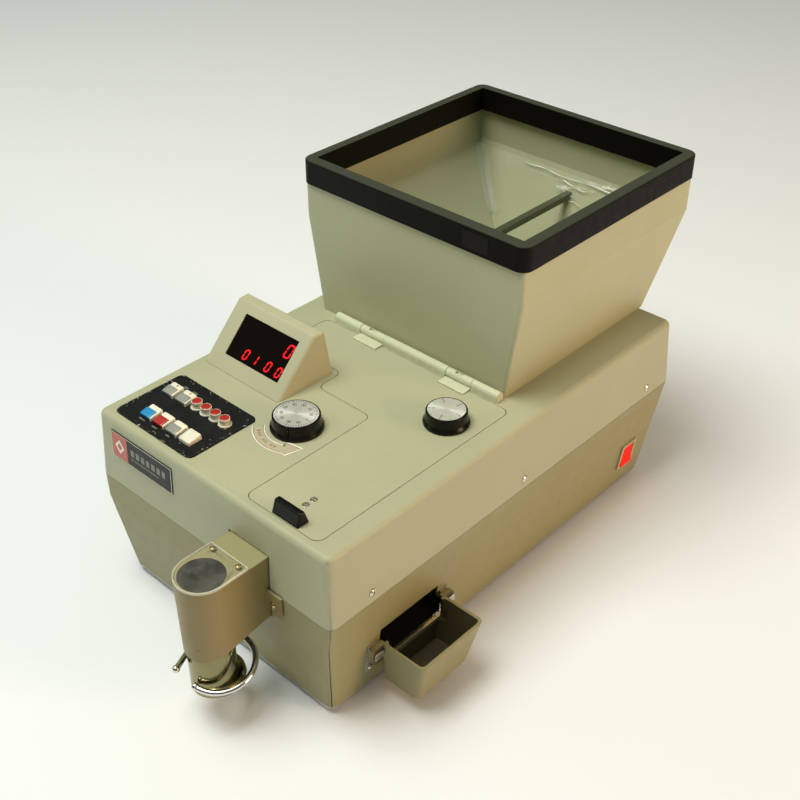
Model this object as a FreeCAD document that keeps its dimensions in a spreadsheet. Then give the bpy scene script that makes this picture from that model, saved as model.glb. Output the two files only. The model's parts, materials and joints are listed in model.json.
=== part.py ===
import FreeCAD, Part
import os
import re
import Sketcher
from FreeCAD import Placement, Rotation, Vector

# Coin counter with a square hopper, a hinged access lid, a front spout with a bag clamp and a
# lift-off reject tray.  The origin is the middle of the four rubber feet on the table:
# +X is the tray side, -Y the spout side, +Z up.  Places on the housing are measured from its
# front left top corner: across (+X), along (+Y) and up from the top face (+Z).

DIMENSIONS = {
    # housing
    "housing_w": 330, "housing_l": 538, "upper_h": 79.5, "lower_h": 125.5, "foot_h": 8,
    "draft": 4.4, "wall": 2.5, "top_wall": 3.6, "corner_r": 9, "edge_r": 6.5,
    "band_h": 30, "band_inset": 0.7, "ledge": 8, "base_inset": 11.3, "base_front": 7, "base_back": 11,
    "plate_t": 2, "foot_r": 12, "foot_inset": 34, "seam": 0.4,
    # hopper
    "hopper_x": 156.7, "hopper_y": 288, "band_w": 296, "band_l": 293, "mouth_h": 179,
    "fold_h": 113, "foot_w": 262, "foot_l": 252, "foot_y": 290.2, "hopper_t": 2.4,
    "funnel_h": 107, "throat_w": 120, "throat_y": 300, "throat_l": 220, "throat_h": 5,
    "rim_w": 301.6, "rim_l": 299, "rim_y": 284.8, "rim_h": 27, "rim_t": 12.5, "rim_skirt": 22,
    "rim_r": 12, "bar_w": 8.4, "bar_t": 7, "bar_z": 90,
    # lid and hinge
    "lid_t": 2, "lid_gap": 0.6, "lid_front": 11.3, "lid_right": 306, "lid_neck_x": 211,
    "lid_neck_y": 177, "lid_mid_x": 134.4, "lid_mid_y": 212, "lid_left": 46, "lid_rear": 276.5,
    "lid_r": 9, "lid_rest": 5, "hinge_y": 283.6, "hinge_z": 5.4, "hinge_r": 5.2,
    "hinge_x0": 57, "hinge_x1": 288, "leaf_x0": 95.5, "leaf_x1": 219, "leaf_w": 34,
    "leaf_lip": 17, "leaf_t": 1.7, "pin_r": 1.5, "pin_fit": 0.05,
    "handle_x": 246, "handle_y": 12, "handle_l": 34, "handle_w": 14, "handle_h": 14,
    "handle_top": 6, "lid_screw_x": 261, "lid_screw_y": 40, "lid_screw_gap": 10, "lid_screw_r": 3.5,
    "lid_seat": 1,
    # dials
    "size_x": 169, "size_y": 115.3, "size_r": 24.2, "size_skirt": 27, "size_dial_r": 22.3,
    "thick_x": 271.4, "thick_y": 220.6, "thick_r": 21, "thick_skirt": 23.6, "thick_dial_r": 19.1,
    "dial_h": 16, "dial_t": 0.8, "dial_gap": 0.8, "shaft_r": 4, "shaft_fit": 0.06, "shaft_l": 26,
    # control panel
    "panel_x": 15, "panel_y": 9.5, "panel_w": 118, "panel_l": 87, "panel_t": 1.2, "panel_r": 7,
    "key_w": 16.6, "key_h": 7, "key_deep": 8, "key_gap": 0.5, "key_pitch": 19.8, "low_row_x": 49.8,
    "low_row_y": 30.4, "high_row_x": 34.6, "high_row_y": 69.3, "button_x": 73.1,
    "button_pitch": 14.05, "button_y": 69, "button_r": 5.8, "button_h": 9.5,
    "key_travel": 2.5,
    # display
    "display_x": 10, "display_w": 116, "display_front": 129, "display_top_front": 183,
    "display_top_back": 196, "display_back": 205, "display_h": 55, "slope_l": 77.1,
    "display_r": 4, "display_t": 2.4,
    "window_x": 31.5, "window_w": 81, "window_low": 12.5, "window_high": 46.5, "window_t": 2,
    # nameplate
    "name_x": 22, "name_w": 95, "name_z": 43.5, "name_h": 30, "name_t": 1.1,
    # spout
    "spout_x": 227.5, "spout_y": -58, "spout_r": 26, "spout_low_r": 24.9, "spout_top": 40,
    "spout_back": 6, "spout_rear_h": 71, "spout_fall": 0.19, "spout_t": 1.8, "sight_r": 22.3,
    "cover_back": -25, "cover_t": 2.2, "notch_gap": 1.2, "tube_r": 22.9, "tube_t": 1.5,
    "tube_top": 112, "tube_low": 176, "lip_r": 26.6, "lip_h": 11, "lip_dx": 2.2, "lip_dy": 3.4,
    "tab_w": 21, "tab_h": 20, "tab_t": 2.6, "tab_z": 77.5, "tab_screw_x": 8,
    "tab_screw_z": 6, "m3_head": 3, "m4_head": 3.9,
    "clamp_x": 230.5, "clamp_y": -51.9, "clamp_z": 153, "clamp_r": 33.5, "wire_r": 3,
    "clamp_start": -80, "clamp_sweep": 287, "clamp_tail": 25, "clamp_lean": 12.4,
    "clamp_rise": 0.38, "ball_r": 3.9,
    # tray
    "tray_x": 335, "tray_y": 61, "tray_out": 51.5, "tray_w": 88.5, "tray_top": 142, "tray_h": 50,
    "tray_in_x": 9.5, "tray_in_front": 3, "tray_in_back": 11, "tray_t": 2.6, "tray_back_h": 26,
    "tray_r": 7, "ear_l": 13.5, "ear_t": 5.4, "ear_h": 12, "ear_x": 330.4,
    "window_y": 66, "tray_window_w": 82, "tray_window_top": 133, "tray_window_h": 50,
    "clip_w": 11, "clip_t": 1.4, "clip_low": 183, "clip_high": 143, "hook_low": 154.05,
    "clip_screw_z": 7,
    # rocker switch and inlet
    "switch_y": 484, "switch_z": 161, "bezel_w": 28, "bezel_h": 36, "bezel_t": 2.4,
    "rocker_w": 20.6, "rocker_h": 28.6, "rocker_out": 4.2, "pivot_r": 1.4, "inlet_x": 60,
    "inlet_z": 150,
    "inlet_w": 27, "inlet_h": 20, "inlet_d": 24, "flange_t": 3,
    # mechanism under the lid
    "deck_z": 48, "deck_t": 3, "deck_left": 150, "deck_right": 307, "deck_front": 10.3,
    "deck_back": 258, "disc_x": 227.5, "disc_y": 178, "disc_r": 72, "disc_t": 3, "disc_rim": 1.5,
    "spindle_r": 5, "bearing_r": 17, "bearing_h": 20, "pulley_r": 30, "pulley_h": 12,
    "pulley_z": 104, "motor_x": 82, "motor_r": 41, "motor_h": 88, "motor_pulley_r": 12,
    "belt_t": 1.8, "rail_x": 254, "rail_w": 12, "rail_l": 118, "rail_h": 7,
    "gate_w": 30, "gate_h": 7, "gate_z": 26, "sensor_y": 36, "sensor_w": 66, "sensor_l": 16,
    "belt_w": 112, "roller_r": 14, "roller_y": 285, "roller_gap": 218, "roller_z": 46,
    "frame_t": 2, "conveyor_t": 2, "chute_in": 266, "chute_out": 333, "chute_high": 118,
    "chute_low": 160, "board_z": 26, "board_t": 1.6, "core_x": 54, "core_y": 400, "core_w": 50,
    "core_l": 76, "core_h": 58,
    "screw_r": 2, "screw_head": 4.1, "side_screw_z": 68, "side_screw_y": 50, "side_screw_pitch": 222,
}

doc = FreeCAD.newDocument("coin_counter")
sheet = doc.addObject("Spreadsheet::Sheet", "dims")
for row, (alias, number) in enumerate(DIMENSIONS.items(), start=1):
    sheet.set("A%d" % row, alias)
    sheet.set("B%d" % row, str(number))
    sheet.setAlias("B%d" % row, alias)
doc.recompute()


# ---- expressions -------------------------------------------------------------------------------

def cells(text):
    """Point every dimension's name in an expression at its cell."""
    return re.sub(r"[a-z][a-z0-9_]*", lambda word: "dims." + word.group(), str(text))


def value(text):
    """The number that an expression of dimensions comes to."""
    numbers = re.sub(r"[a-z][a-z0-9_]*", lambda word: repr(float(DIMENSIONS[word.group()])), str(text))
    return FreeCAD.Units.parseQuantity(numbers).Value


def across(text):
    return "-housing_w / 2 + (%s)" % text


def along(text):
    return "-housing_l / 2 + (%s)" % text


def up(text):
    return "foot_h + lower_h + upper_h + (%s)" % text


def side_at(depth):
    """X of the tray side of the lower housing at a depth below the top face."""
    return "housing_w / 2 + draft - (%s - upper_h) * (draft + base_inset) / (lower_h - plate_t)" % depth


def bind(item, **sizes):
    for name, text in sizes.items():
        item.setExpression(name.replace("__", "."), cells(text))
    return item


def place(item, x="0", y="0", z="0", turn=None):
    if turn:
        item.Placement = Placement(Vector(), turn)
    return bind(item, Placement__Base__x=x, Placement__Base__y=y, Placement__Base__z=z)


# ---- solids from Part primitives ---------------------------------------------------------------

TO_X = Rotation(Vector(0, 1, 0), 90)
TO_Y = Rotation(Vector(1, 0, 0), -90)
WEDGE_UP = Rotation(Vector(1, 0, 0), 90)


def box(name, x, y, z, length, width, height):
    """Box from its lowest corner."""
    item = doc.addObject("Part::Box", name)
    bind(item, Length=length, Width=width, Height=height)
    return place(item, x, y, z)


def rod(name, x, y, z, radius, length, turn=None):
    item = doc.addObject("Part::Cylinder", name)
    bind(item, Radius=radius, Height=length)
    return place(item, x, y, z, turn)


def taper(name, low_z, high_z, low, high):
    """Four-sided block between two rectangles (x0, x1, y0, y1) at two heights."""
    item = doc.addObject("Part::Wedge", name)
    item.Placement = Placement(Vector(), WEDGE_UP)
    bind(item, Ymin=low_z, Ymax=high_z, Xmin=low[0], Xmax=low[1], X2min=high[0], X2max=high[1])
    bind(item, Zmin="-(%s)" % low[3], Zmax="-(%s)" % low[2])
    return bind(item, Z2min="-(%s)" % high[3], Z2max="-(%s)" % high[2])


def shrink(sides, amount):
    x0, x1, y0, y1 = sides
    return ("%s + (%s)" % (x0, amount), "%s - (%s)" % (x1, amount),
            "%s + (%s)" % (y0, amount), "%s - (%s)" % (y1, amount))


def fuse(name, *pieces):
    item = doc.addObject("Part::MultiFuse", name)
    item.Shapes = list(pieces)
    return item


def cut(name, base, *tools):
    item = doc.addObject("Part::Cut", name)
    item.Base = base
    item.Tool = tools[0] if len(tools) == 1 else fuse(name + "_cutters", *tools)
    return item


def group(name, *pieces):
    """Separate solids that share one node."""
    item = doc.addObject("Part::Compound", name)
    item.Links = list(pieces)
    return item


def rounded(name, base, radius, wanted):
    """Fillet of the edges that `wanted` picks by their middle and direction."""
    doc.recompute()
    item = doc.addObject("Part::Fillet", name)
    item.Base = base
    size = value(radius)
    edges = []
    for number, edge in enumerate(base.Shape.Edges, start=1):
        if len(edge.Vertexes) == 2 and wanted(edge):
            edges.append((number, size, size))
    item.Edges = edges
    return item


def upright(edge):
    way = edge.Vertexes[1].Point - edge.Vertexes[0].Point
    return abs(way.z) > 0.8 * way.Length


# ---- solids from PartDesign bodies -------------------------------------------------------------

PLANES = {"x": "YZ_Plane", "y": "XZ_Plane", "z": "XY_Plane"}


def outline(body, name, axis, points, start="0"):
    """Closed sketch of straight lines, each corner held by two bound distances."""
    sketch = body.newObject("Sketcher::SketchObject", name)
    plane = [item for item in body.Origin.OriginFeatures if item.Role == PLANES[axis]][0]
    sketch.AttachmentSupport = [(plane, "")]
    sketch.MapMode = "FlatFace"
    bind(sketch, AttachmentOffset__Base__z="-(%s)" % start if axis == "y" else start)
    spots = [Vector(value(x), value(y), 0) for x, y in points]
    for number, spot in enumerate(spots):
        sketch.addGeometry(Part.LineSegment(spot, spots[(number + 1) % len(spots)]))
    for number, (x, y) in enumerate(points):
        before = number - 1 if number else len(points) - 1
        sketch.addConstraint(Sketcher.Constraint("Coincident", before, 2, number, 1))
        for way, text in (("DistanceX", x), ("DistanceY", y)):
            index = sketch.addConstraint(
                Sketcher.Constraint(way, -1, 1, number, 1, value(text)))
            sketch.setExpression("Constraints[%d]" % index, cells(text))
    return sketch


def prism(name, axis, points, start, length):
    """PartDesign body: a straight-sided outline padded along an axis from `start`."""
    body = doc.addObject("PartDesign::Body", name)
    sketch = outline(body, name + "_outline", axis, points, start)
    pad = body.newObject("PartDesign::Pad", name + "_pad")
    pad.Profile = sketch
    pad.Reversed = axis == "y"
    bind(pad, Length=length)
    doc.recompute()
    return body


def blend(body, name, radius, wanted):
    """PartDesign fillet of the edges that `wanted` picks."""
    doc.recompute()
    tip = body.Tip
    names = []
    for number, edge in enumerate(tip.Shape.Edges, start=1):
        if len(edge.Vertexes) == 2 and wanted(edge):
            names.append("Edge%d" % number)
    feature = body.newObject("PartDesign::Fillet", name)
    feature.Base = (tip, names)
    bind(feature, Radius=radius)
    doc.recompute()
    return body


def turned(name, points, x, y, z):
    """PartDesign body: an outline of (radius, height) points turned about its own Z axis."""
    body = doc.addObject("PartDesign::Body", name)
    sketch = outline(body, name + "_section", "y", points)
    feature = body.newObject("PartDesign::Revolution", name + "_turn")
    feature.Profile = sketch
    feature.ReferenceAxis = (sketch, ["V_Axis"])
    feature.Angle = 360
    doc.recompute()
    return place(body, x, y, z)


def sides_rect(x, y, width, length):
    """Corners of a rectangle from its lowest corner."""
    return [(x, y), ("%s + %s" % (x, width), y), ("%s + %s" % (x, width), "%s + %s" % (y, length)),
            (x, "%s + %s" % (y, length))]


# ---- housing -----------------------------------------------------------------------------------

TOP = "foot_h + lower_h + upper_h"
PARTING = "foot_h + lower_h"
FOLD = "foot_h + lower_h - band_h"
FLOOR = "foot_h + plate_t"
TOP_SIDES = (across("0"), across("housing_w"), along("0"), along("housing_l"))
PARTING_SIDES = shrink(TOP_SIDES, "(-draft)")
BASE_SIDES = (across("base_inset"), across("housing_w - base_inset"),
              along("base_front"), along("housing_l - base_back"))
FOLD_RIGHT = side_at("(upper_h + band_h)")
FOLD_BACK = "housing_l / 2 + draft - band_h * (draft + base_back) / (lower_h - plate_t)"
BAND_SIDES = (across("band_inset - draft"), FOLD_RIGHT, along("-draft"), FOLD_BACK)
STEP_SIDES = (across("band_inset - draft + ledge"), FOLD_RIGHT, along("-draft"), FOLD_BACK)
BACK_LEAN = Rotation(Vector(1, 0, 0), -7.11)
CLIP_PLACES = ("tray_y - ear_l + 1", "tray_y + tray_w + ear_l - 1 - clip_w")


def on_back(name, item):
    """Stand a piece on the sloping back wall, at the inlet's place; its own +Y points out."""
    slope = "(draft + base_back) / (lower_h - plate_t)"
    stood = group(name, item)
    return place(stood, across("inlet_x"), "housing_l / 2 + draft - (inlet_z - upper_h) * " + slope,
                 up("-inlet_z"), BACK_LEAN)


def lower_housing():
    band = taper("band_block", FOLD, PARTING, BAND_SIDES, PARTING_SIDES)
    skirt = taper("skirt_block", FLOOR, FOLD, BASE_SIDES, BAND_SIDES)
    block = fuse("lower_block", band, skirt)
    block.Refine = True
    outer = rounded("lower_outer", block, "corner_r", upright)
    step = taper("ledge_step", FLOOR + " - 1", FOLD + " + 0.6",
                 (across("-40"), BASE_SIDES[0], along("-20"), along("housing_l + 20")),
                 (across("-40"), STEP_SIDES[0], along("-20"), along("housing_l + 20")))
    band_hollow = taper("band_hollow", FOLD + " + wall", PARTING + " + 1",
                        shrink(BAND_SIDES, "wall"), shrink(PARTING_SIDES, "wall"))
    neck_hollow = taper("neck_hollow", FOLD, FOLD + " + wall + 1", shrink(STEP_SIDES, "wall"),
                        shrink(STEP_SIDES, "wall"))
    skirt_hollow = taper("skirt_hollow", FLOOR + " - 1", FOLD, shrink(BASE_SIDES, "wall"),
                         shrink(STEP_SIDES, "wall"))
    tray_window = box("tray_window", across("300"), along("window_y"),
                      up("-tray_window_top - tray_window_h"), "60", "tray_window_w", "tray_window_h")
    switch_hole = box("switch_hole", across("300"), along("switch_y - bezel_w / 2 + 2"),
                      up("-switch_z - bezel_h / 2 + 2"), "60", "bezel_w - 4", "bezel_h - 4")
    notch = box("band_notch", across("spout_x - spout_r - 2 * notch_gap"), along("-20"),
                up("-spout_top - spout_rear_h - 2 * notch_gap"),
                "2 * spout_r + 3 * notch_gap", "30", "spout_rear_h")
    inlet_hole = on_back("inlet_hole", box("inlet_hole_block", "-inlet_w / 2 - seam", "-10",
                                           "-inlet_h / 2 - seam", "inlet_w + 2 * seam", "20",
                                           "inlet_h + 2 * seam"))
    tab_bore = rod("tab_screw_bore", across("spout_x + spout_r + tab_screw_x"), along("-20"),
                   up("-tab_z - tab_h + tab_screw_z"), "1.8", "30", TO_Y)
    clip_bores = [rod("clip_screw_bore", across("300"), along(y + " + clip_w / 2"),
                      up("-clip_low + clip_screw_z"), "1.8", "60", TO_X) for y in CLIP_PLACES]
    hollowed = cut("lower_hollowed", cut("lower_stepped", outer, step), band_hollow, neck_hollow,
                   skirt_hollow)
    return cut("lower_housing", hollowed, tray_window, switch_hole, notch, inlet_hole, tab_bore,
               *clip_bores)


def upper_housing():
    block = rounded("hood_uprights", taper("hood_block", PARTING + " + seam", TOP, PARTING_SIDES,
                                           TOP_SIDES), "corner_r", upright)
    hollow = taper("hood_hollow", PARTING + " - 1", TOP + " - top_wall", shrink(PARTING_SIDES, "wall"),
                   shrink(TOP_SIDES, "wall"))
    block = rounded("hood_rounded", block, "edge_r",
                    lambda edge: min(v.Z for v in edge.Vertexes) > value(TOP) - 0.5)
    spout_notch = box("spout_notch", across("spout_x - spout_r - 2 * notch_gap"), along("-20"),
                      PARTING, "2 * spout_r + 3 * notch_gap", "30",
                      "upper_h - spout_top + notch_gap")
    feed_hole = box("feed_hole", across("hopper_x - throat_w / 2"), along("throat_y"),
                    up("-top_wall - 5"), "throat_w", "throat_l", "top_wall + 10")
    panel_hole = box("panel_hole", across("panel_x + 6"), along("panel_y + 6"),
                     up("-top_wall - 5"), "panel_w - 12", "panel_l - 12", "top_wall + 10")
    shaft_hole = rod("size_shaft_hole", across("size_x"), along("size_y"), up("-top_wall - 5"),
                     "shaft_r + shaft_fit", "top_wall + 10")
    seats = [rod("screw_seat", side + "housing_w / 2 + %s" % out,
                 along("side_screw_y + %d * side_screw_pitch" % number),
                 up("-side_screw_z"), "screw_head + 0.1", "20", turn)
             for side, out, turn in (("", "3.3", TO_X), ("-", "3.3", Rotation(Vector(0, 1, 0), -90)))
             for number in range(3)]
    bores = [rod("screw_bore", "-housing_w / 2 - 15",
                 along("side_screw_y + %d * side_screw_pitch" % number),
                 up("-side_screw_z"), "screw_r + 0.1", "housing_w + 30", TO_X) for number in range(3)]
    return cut("upper_housing", block, hollow, spout_notch, feed_hole, panel_hole, shaft_hole,
               lid_block("lid_opening", "lid_gap", "-lid_t - lid_gap", "10"),
               lid_block("lid_well", "-lid_rest", "-top_wall - 5", "top_wall + 10"),
               *(seats + bores))


def lid_points(grow):
    """The stepped outline of the access lid, grown outwards by `grow`."""
    right = across("lid_right + (%s)" % grow)
    front = along("lid_front - (%s)" % grow)
    neck_x = across("lid_neck_x - (%s)" % grow)
    neck_y = along("lid_neck_y - (%s)" % grow)
    middle_x = across("lid_mid_x - (%s)" % grow)
    middle_y = along("lid_mid_y - (%s)" % grow)
    left = across("lid_left - (%s)" % grow)
    rear = along("lid_rear + (%s)" % grow)
    return [(neck_x, front), (right, front), (right, rear), (left, rear), (left, middle_y),
            (middle_x, middle_y), (middle_x, neck_y), (neck_x, neck_y)]


def lid_block(name, grow, low, height):
    body = prism(name, "z", lid_points(grow), up(low), height)
    return blend(body, name + "_corners", "lid_r", upright)


def base_plate():
    plate = rounded("base_plate", taper("base_sheet", "foot_h", FLOOR, BASE_SIDES, BASE_SIDES),
                    "corner_r", upright)
    return plate


def rubber_feet():
    feet = []
    for x in ("foot_inset + base_inset", "housing_w - foot_inset - base_inset"):
        for y in ("foot_inset", "housing_l - foot_inset"):
            foot = doc.addObject("Part::Cone", "foot")
            bind(foot, Radius1="foot_r - 1.5", Radius2="foot_r", Height="foot_h")
            feet.append(place(foot, across(x), along(y)))
    return group("rubber_feet", *feet)


def dome_screw(name, head, neck, length, x, y, z, turn):
    """Pan-head screw; its head sits above the joint plane and its shank below it."""
    body = doc.addObject("PartDesign::Body", name)
    points = [("0", "-(%s)" % length), (neck, "-(%s)" % length), (neck, "0"), (head, "0"),
              (head, "%s * 0.3" % head), ("%s * 0.55" % head, "%s * 0.62" % head),
              ("0", "%s * 0.62" % head)]
    sketch = outline(body, name + "_section", "y", points)
    feature = body.newObject("PartDesign::Revolution", name + "_turn")
    feature.Profile = sketch
    feature.ReferenceAxis = (sketch, ["V_Axis"])
    feature.Angle = 360
    slot = body.newObject("PartDesign::SubtractiveBox", name + "_slot")
    bind(slot, Length="3 * %s" % head, Width="%s * 0.26" % head, Height=head)
    bind(slot, Placement__Base__x="-1.5 * %s" % head, Placement__Base__y="-%s * 0.13" % head,
         Placement__Base__z="%s * 0.3" % head)
    doc.recompute()
    return place(body, x, y, z, turn)


def housing_screws():
    screws = []
    for side, turn in (("", TO_X), ("-", Rotation(Vector(0, 1, 0), -90))):
        for number in range(3):
            screws.append(dome_screw("housing_screw", "screw_head", "screw_r", "8",
                                     side + "(housing_w / 2 + 3.3)",
                                     along("side_screw_y + %d * side_screw_pitch" % number),
                                     up("-side_screw_z"), turn))
    return group("housing_screws", *screws)


# ---- hopper ------------------------------------------------------------------------------------

def centred(width, front, length):
    return (across("hopper_x - %s / 2" % width), across("hopper_x + %s / 2" % width),
            along(front), along("%s + %s" % (front, length)))


def funnel_mouth():
    """Inside of the tapered skin at the height where the funnel meets it."""
    mouth = centred("band_w", "hopper_y", "band_l")
    foot = centred("foot_w", "foot_y", "foot_l")
    skin = tuple("%s + (%s - (%s)) * funnel_h / fold_h" % (low, high, low)
                 for low, high in zip(foot, mouth))
    return shrink(skin, "hopper_t")


def hopper_body():
    """Double-walled hopper: a straight band over a tapered skin, with a funnel inside."""
    mouth = centred("band_w", "hopper_y", "band_l")
    foot = centred("foot_w", "foot_y", "foot_l")
    inner = shrink(mouth, "hopper_t")
    crease = funnel_mouth()
    throat = centred("throat_w", "throat_y", "throat_l")
    block = fuse("hopper_block", taper("hopper_band", up("fold_h"), up("mouth_h - 2"), mouth, mouth),
                 taper("hopper_skin", up("0"), up("fold_h"), foot, mouth))
    outer = rounded("hopper_outer", block, "4", upright)
    void = taper("hopper_void", up("-1"), up("funnel_h - 2"), shrink(foot, "hopper_t"), crease)
    shell = cut("hopper_shell", outer, void)
    funnel_wall = cut("funnel_wall",
                      taper("funnel_outer", up("0"), up("funnel_h"), shrink(throat, "(-hopper_t)"),
                            shrink(crease, "(-hopper_t / 2)")),
                      box("funnel_front_trim", across("0"), along("0"), up("-1"), "housing_w",
                          "foot_y", "funnel_h + 2"))
    cavity = taper("funnel_cavity", up("0"), up("funnel_h"), throat, crease)
    fold_hollow = taper("fold_hollow", up("funnel_h"), up("fold_h"), crease, inner)
    mouth_hollow = taper("mouth_hollow", up("fold_h"), up("mouth_h + 5"), inner, inner)
    return cut("hopper_body", fuse("hopper_walls", shell, funnel_wall), cavity, fold_hollow,
               mouth_hollow)


def hopper_rim():
    outer = centred("rim_w", "rim_y", "rim_l")
    block = rounded("rim_block", taper("rim_outer", up("mouth_h - rim_h"), up("mouth_h"), outer, outer),
                    "rim_r", upright)
    block = rounded("rim_rounded", block, "2.5",
                    lambda edge: min(v.Z for v in edge.Vertexes) > value(up("mouth_h")) - 0.5)
    mouth = centred("band_w", "hopper_y", "band_l")
    opening = shrink(outer, "rim_t")
    bed = rounded("rim_groove_bed", taper("rim_groove_outer", up("mouth_h - rim_h - 1"),
                                          up("mouth_h - 2"), shrink(mouth, "(-0.1)"),
                                          shrink(mouth, "(-0.1)")), "3.8", upright)
    groove = cut("rim_groove", bed,
                 taper("rim_groove_inner", up("mouth_h - rim_h - 2"), up("mouth_h - 1"),
                       shrink(mouth, "hopper_t + 0.1"), shrink(mouth, "hopper_t + 0.1")))
    return cut("hopper_rim", block, groove,
               taper("rim_opening", up("mouth_h - rim_h - 2"), up("mouth_h + 2"), opening, opening))


def hopper_baffle():
    """Inverted channel down the middle of the hopper, over the throat."""
    start = "hopper_y + hopper_t"
    bar = prism("baffle_channel", "y",
                [(across("hopper_x - bar_w / 2"), up("bar_z - bar_t")),
                 (across("hopper_x - bar_w / 2 + 2"), up("bar_z - bar_t")),
                 (across("hopper_x - bar_w / 2 + 2"), up("bar_z - 2")),
                 (across("hopper_x + bar_w / 2 - 2"), up("bar_z - 2")),
                 (across("hopper_x + bar_w / 2 - 2"), up("bar_z - bar_t")),
                 (across("hopper_x + bar_w / 2"), up("bar_z - bar_t")),
                 (across("hopper_x + bar_w / 2"), up("bar_z")),
                 (across("hopper_x - bar_w / 2"), up("bar_z"))],
                along(start), "band_l - 2 * hopper_t")
    slope = taper("baffle_slope", up("0"), up("funnel_h"), centred("throat_w", "throat_y", "throat_l"),
                  funnel_mouth())
    trimmed = doc.addObject("Part::Common", "hopper_baffle")
    trimmed.Base = bar
    trimmed.Tool = slope
    return trimmed


# ---- access lid and hinge ----------------------------------------------------------------------

def access_lid():
    plate = lid_block("lid_plate", "0", "-lid_t", "lid_t")
    stud = rod("lid_shaft_hole", across("thick_x"), along("thick_y"), up("-lid_t - 5"),
               "shaft_r + shaft_fit", "20")
    bores = [rod("lid_screw_bore", across("lid_screw_x"), along("lid_screw_y + %d * lid_screw_gap" % n),
                 up("-lid_t - 5"), "1.6", "20") for n in range(2)]
    seats = [rod("lid_screw_seat", across("lid_screw_x"),
                 along("lid_screw_y + %d * lid_screw_gap" % n), up("-lid_seat"),
                 "lid_screw_r + 0.1", "5") for n in range(2)]
    return cut("access_lid", plate, stud, *(bores + seats))


def lid_screws():
    """Flat slotted screws, level with the lid."""
    points = [("0", "-5"), ("1.5", "-5"), ("1.5", "0"), ("lid_screw_r", "0"),
              ("lid_screw_r", "lid_seat - 0.3"), ("lid_screw_r - 0.3", "lid_seat - 0.02"),
              ("0", "lid_seat - 0.02")]
    screws = []
    for number in range(2):
        y = "lid_screw_y + %d * lid_screw_gap" % number
        screw = turned("lid_screw_body", points, across("lid_screw_x"), along(y), up("-lid_seat"))
        slot = box("lid_screw_slot", across("lid_screw_x - 5"), along(y + " - 0.45"), up("-0.55"),
                   "10", "0.9", "3")
        screws.append(cut("lid_screw", screw, slot))
    return group("lid_screws", *screws)


def lid_handle():
    middle = "handle_w / 2"
    low = [("0", "0"), ("handle_w", "0"), ("handle_w", "2"),
           ("%s + handle_top / 2" % middle, "handle_h"), ("%s - handle_top / 2" % middle, "handle_h"),
           ("0", "2")]
    points = [(along("handle_y + (%s)" % y), up(z)) for y, z in low]
    body = prism("lid_handle", "x", points, across("handle_x"), "handle_l")
    return blend(body, "handle_rounding", "2", lambda edge: edge.BoundBox.ZMax > value(up("handle_h - 0.1")))


def hinge_cover():
    """Half-round hinge bar along the hopper's foot, in three stretches around the leaves."""
    stretches = [("hinge_x0", "leaf_x0 - seam"), ("leaf_x0 + leaf_w + seam", "leaf_x1 - seam"),
                 ("leaf_x1 + leaf_w + seam", "hinge_x1")]
    parts = []
    for x0, x1 in stretches:
        length = "%s - (%s)" % (x1, x0)
        sill = box("hinge_sill", across(x0), along("hinge_y - hinge_r"), up("0"), length,
                   "2 * hinge_r", "hinge_z")
        bar = rod("hinge_bar", across(x0), along("hinge_y"), up("hinge_z"), "hinge_r", length, TO_X)
        parts.append(fuse("hinge_stretch", sill, bar))
    bore = rod("hinge_cover_bore", across("hinge_x0 + 3"), along("hinge_y"), up("hinge_z"),
               "pin_r + pin_fit", "hinge_x1 - hinge_x0 - 6", TO_X)
    return cut("hinge_cover", fuse("hinge_stretches", *parts), bore)


def hinge_pin():
    return rod("hinge_pin", across("hinge_x0 + 3.5"), along("hinge_y"), up("hinge_z"), "pin_r",
               "hinge_x1 - hinge_x0 - 7", TO_X)


def lid_hinges():
    leaves = []
    for x0 in ("leaf_x0", "leaf_x1"):
        knuckle = rod("leaf_knuckle", across(x0), along("hinge_y"), up("hinge_z"),
                      "hinge_r - 0.2", "leaf_w", TO_X)
        lip = box("leaf_lip", across(x0), along("hinge_y - leaf_lip"), up("0.02"), "leaf_w",
                  "leaf_lip - 1", "leaf_t")
        slot = box("leaf_slot", across("%s + 11" % x0), along("hinge_y - 2.4"),
                   up("hinge_z + 2.6"), "10", "4", "8")
        leaves.append(cut("leaf", fuse("leaf_block", knuckle, lip), slot))
    bore = rod("leaf_bore", across("0"), along("hinge_y"), up("hinge_z"), "pin_r + pin_fit + 0.01",
               "housing_w", TO_X)
    return cut("lid_hinges", group("leaves", *leaves), bore)


# ---- dials -------------------------------------------------------------------------------------

def knob(name, x, y, radius, skirt):
    """Turned knob with a flared skirt, a shallow seat for its dial, and its shaft."""
    points = [("0", "-shaft_l"), ("shaft_r", "-shaft_l"), ("shaft_r", "dial_gap"),
              (skirt, "dial_gap"), (skirt, "dial_gap + 2.2"), ("%s + 0.6" % radius, "dial_gap + 5"),
              (radius, "dial_h - 1"), ("%s - 0.8" % radius, "dial_h"),
              ("%s - 1.9" % radius, "dial_h"), ("%s - 1.9" % radius, "dial_h - dial_t"),
              ("0", "dial_h - dial_t")]
    return turned(name, points, across(x), along(y), TOP)


def dial(name, x, y, radius):
    """Thin spun disc on the knob, a hair proud at its middle."""
    points = [("0", "dial_h - dial_t"), (radius, "dial_h - dial_t"), (radius, "dial_h"),
              ("%s * 0.3" % radius, "dial_h + 0.3"), ("0", "dial_h + 0.3")]
    return turned(name, points, across(x), along(y), TOP)


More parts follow.
